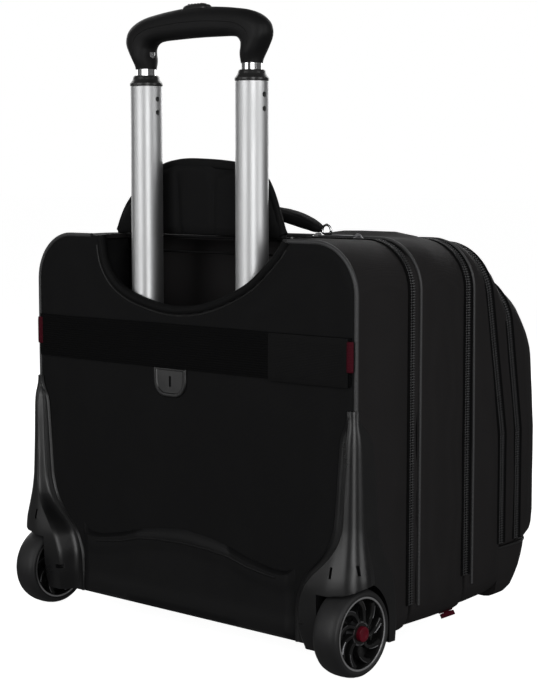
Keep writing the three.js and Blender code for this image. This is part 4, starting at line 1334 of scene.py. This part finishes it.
def carry_handle():
    low, high = span("carry_handle")
    y = (low.y + high.y) / 2
    crown, foot, reach = high.z - 13, 388, 76
    rise = crown - foot
    radius = (reach * reach + rise * rise) / (2 * rise)
    sweep = math.asin(reach / radius)
    angles = [mix(-sweep * 1.03, sweep * 1.03, i / 44) for i in range(45)]
    path = [Vector((radius * math.sin(a), y, crown - radius + radius * math.cos(a))) for a in angles]

    def width(x):
        return mix(13.6, 8, smooth((abs(x) - 44) / 30))

    def section(i):
        x = path[i].x
        w, t = width(x), mix(6.4, 4.6, smooth((abs(x) - 50) / 26))
        end = smooth(min(i, 44 - i) / 3 + 0.35)
        points = []
        for u, v in oval(1, 1, 28, 2.8):
            crease = 0.8 * math.exp(-(((abs(u) - 0.72) / 0.1) ** 2)) * (abs(x) < 60)
            points.append((u * w * end, v * t * end - math.copysign(crease, v) * (abs(v) > 0.4)))
        return points

    handle = Mesh().sweep(path, section, up=lambda i: path[i] - Vector((0, y, crown - radius)))
    obj = handle.make("carry_handle_grip", [FABRIC], None, None, angle=60)
    subdivide = obj.modifiers.new("smooth", "SUBSURF")
    subdivide.levels = 1
    apply(obj)
    move_points(obj, lambda *at: (0, 0.35 * rumple(*at, 14, 31), 0.35 * rumple(*at, 12, 32)))
    placed(obj, "carry_handle", ["carry_handle"])
    for name, s in SIDES.items():
        rlow, rhigh = span(f"handle_ring_{name}")
        centre = (rlow + rhigh) / 2
        centre.x = s * 83.5
        ring = [(centre.x + u, centre.y, centre.z + v) for u, v in oval(5.3, 5.3, 32)]
        made = Mesh().sweep(ring, oval(1.25, 1.25, 12), closed=True)
        made.make(f"handle_loop_{name}", [CHROME], "main_section", "tube_chrome", [f"handle_ring_{name}"])
        profile = [(0.01, 0), (6.6, 0), (6.8, 0.7), (6.0, 1.6), (3.6, 2.3), (2.8, 3.6), (0.01, 4.0)]
        at = (s * 84, y + 12.5, TOP + 0.9)
        turned(f"handle_stud_{name}", CHROME, "main_section", "tube_chrome", profile, at, "z", 32, angle=35)
        loop = ((16, 1.6), (8, 1.8), (2.6, 2.6), (0.2, 3.8), (-2.0, 2.6), (-4.4, 1.6), (-6.4, 1.3))
        path = curve([(centre.x + s * x, y, TOP + lift) for x, lift in loop], 4)
        section = oval(7, 0.8, 16, 5)
        cord(f"handle_anchor_{name}", path, section, WEBBING, "main_section", "webbing", up=(0, 0, 1))


def underside():
    low, high = span("bottom_panel")
    rows = []
    for i in range(21):
        y = mix(high.y, low.y, i / 20)
        end = smooth(min(i, 20 - i) / 2 + 0.6)
        row = []
        for u, v in oval(1, 1, 36, 9):
            z = mix(low.z, high.z, (v * end + 1) / 2) - 0.3 * rumple(u * 160, y, 0, 45, 14) * (v < 0)
            row.append((u * high.x, y, z))
        rows.append(row)
    Mesh().tube(rows).make("bottom_cloth", [SIDE_FABRIC_PAINTED_LIT], "case_back", "case_fabric", ["bottom_panel"])
    for name in SIDES:
        flow, fhigh = span(f"front_foot_{name}")
        c = (flow + fhigh) / 2
        profile = [(0.01, 0), (9.5, 0), (11.6, 0.6), (12.8, 2), (13.6, 4.4), (13.2, 8), (12.2, 12)]
        profile += [(12.0, 17), (12.8, 19.5), (13.8, 20.6), (13.9, fhigh.z), (0.01, fhigh.z)]
        foot = (f"front_foot_moulding_{name}", BASE_PLASTIC, "case_back", "moulding", profile)
        turned(*foot, (c.x, c.y, 0), "z", 48, [f"front_foot_{name}"], 35)


def pull_tab():
    """The crimson tab at the foot of the main zip."""
    path = curve([(x, -15, z) for x, z in ((-180, 31.5), (-188, 30.5), (-194, 27.5), (-197, 23))], 5)
    section = oval(10.5, 1.5, 20, 5)
    cord("crimson_zip_end", path, section, CRIMSON, "main_section", "red_plastic", up=(-1, 0, -1))


def laptop_pad():
    low, high = span("laptop_pad")
    centre, half = (low + high) / 2, (high - low) / 2
    rows = []
    for y, inset in ((-half.y + 1.5, 5), (-half.y + 2.0, 2), (0, 0.8), (half.y - 2.0, 2), (half.y - 1.5, 5)):
        outline = oval(half.x - inset, half.z - inset, 64, 8)
        rows.append([(centre.x + u, centre.y + y, centre.z + v) for u, v in outline])
    obj = Mesh().tube(rows).make("laptop_sleeve_pad", [LINING], None, None)
    inflate(obj, 2.0, voxel=6.0, levels=0)

    def quilt(_, y, z):
        """Three stitched lines across both faces."""
        side = 1 if y > centre.y else -1
        lines = sum(math.exp(-(((z - c) / 3) ** 2)) for c in (90, 150, 210))
        return (0, -side * 1.3 * lines, 0)

    move_points(obj, quilt)
    placed(obj, "main_section", ["laptop_pad"])


def carried_over():
    """The plain inner parts that keep their CAD shapes."""
    plastic = ["tube_bezel", "tube_foot_bracket", "button_yoke"]
    turned_steel = [f"{part}_{side}" for part in ("guide_tube", "axle", "bearing") for side in SIDES]
    dress(PLASTIC, *plastic)
    dress(BOARD, "frame_board")
    dress(STEEL, *turned_steel, "button_spring", "latch_pin_left", "latch_pin_right")
    for name in plastic + turned_steel + ["inner_tube_left", "inner_tube_right", "button_spring"]:
        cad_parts[name].data.shade_smooth()
        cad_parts[name].data.set_sharp_from_angle(angle=math.radians(35))


# ---------------------------------------------------------------- studio

CAMERA_AT = Vector((-1.0664, 1.2427, 0.436))
CAMERA_AZIMUTH, CAMERA_ELEVATION = 221.05, 5.7


def camera():
    data = bpy.data.cameras.new("camera")
    data.lens = 85.94
    data.sensor_width = 36
    obj = bpy.data.objects.new("camera", data)
    bpy.context.scene.collection.objects.link(obj)
    a, e = math.radians(CAMERA_AZIMUTH), math.radians(CAMERA_ELEVATION)
    back = Vector((math.sin(a) * math.cos(e), -math.cos(a) * math.cos(e), math.sin(e)))
    obj.location = CAMERA_AT
    obj.rotation_euler = back.to_track_quat("Z", "Y").to_euler()
    bpy.context.scene.camera = obj
    return back


def softbox(name, azimuth, elevation, distance, size, power):
    """An area light that many degrees round from the camera's side, facing the middle of the case."""
    aim = Vector((0, 0, 0.25))
    data = bpy.data.lights.new(name, "AREA")
    data.shape = "RECTANGLE"
    data.size, data.size_y = size
    data.energy = power
    obj = bpy.data.objects.new(name, data)
    bpy.context.scene.collection.objects.link(obj)
    a, e = math.radians(CAMERA_AZIMUTH + azimuth), math.radians(elevation)
    away = Vector((math.sin(a) * math.cos(e), -math.cos(a) * math.cos(e), math.sin(e)))
    obj.location = aim + away * distance
    obj.rotation_euler = away.to_track_quat("Z", "Y").to_euler()
    obj.visible_camera = False


def studio():
    scene = bpy.context.scene
    world = bpy.data.worlds.new("studio")
    scene.world = world
    world.use_nodes = True
    tree = world.node_tree
    background = tree.nodes["Background"]
    sees = node(tree, "ShaderNodeLightPath").outputs["Is Camera Ray"]
    strength = node(tree, "ShaderNodeMapRange", {"Value": sees, "To Min": 0.10, "To Max": 1.0})
    tree.links.new(strength.outputs[0], background.inputs["Strength"])
    background.inputs["Color"].default_value = (1, 1, 1, 1)
    mesh = bpy.data.meshes.new("floor")
    reach = 30
    corners = [(x * reach, y * reach, 0) for x, y in ((-1, -1), (1, -1), (1, 1), (-1, 1))]
    mesh.from_pydata(corners, [], [(0, 1, 2, 3)])
    mesh.materials.append(PALE_FLOOR)
    floor = bpy.data.objects.new("floor", mesh)
    scene.collection.objects.link(floor)
    floor.visible_glossy = False
    floor.visible_diffuse = False
    softbox("key", -48, 16, 1.9, (1.0, 1.7), 12)
    softbox("fill", 55, 16, 1.9, (0.9, 1.7), 10)
    softbox("front", 8, 12, 1.9, (0.6, 1.7), 13)
    softbox("far_edge", -83, 6, 1.42, (0.25, 0.9), 1.0)
    softbox("back_left", 155, 22, 2.2, (1.2, 1.4), 15)
    softbox("back_right", -150, 22, 2.2, (1.2, 1.4), 12)
    scene.view_settings.view_transform = "Standard"


# ---------------------------------------------------------------- the whole case

camera()
rear_panel()
rear_gusset()
scoop_rim()
handle_well()
edge_piping()
kick_plate()
strap()
u_tab()
for side_name, side in SIDES.items():
    guard(side)
    wheel(side_name, side)
handle_tubes()
grip()
button()
well_flap()
compartments()
pocket_base()
zips()
pipings()
for zip_name in ZIPS:
    zip_furniture(zip_name)
carry_handle()
underside()
pull_tab()
laptop_pad()
carried_over()
studio()
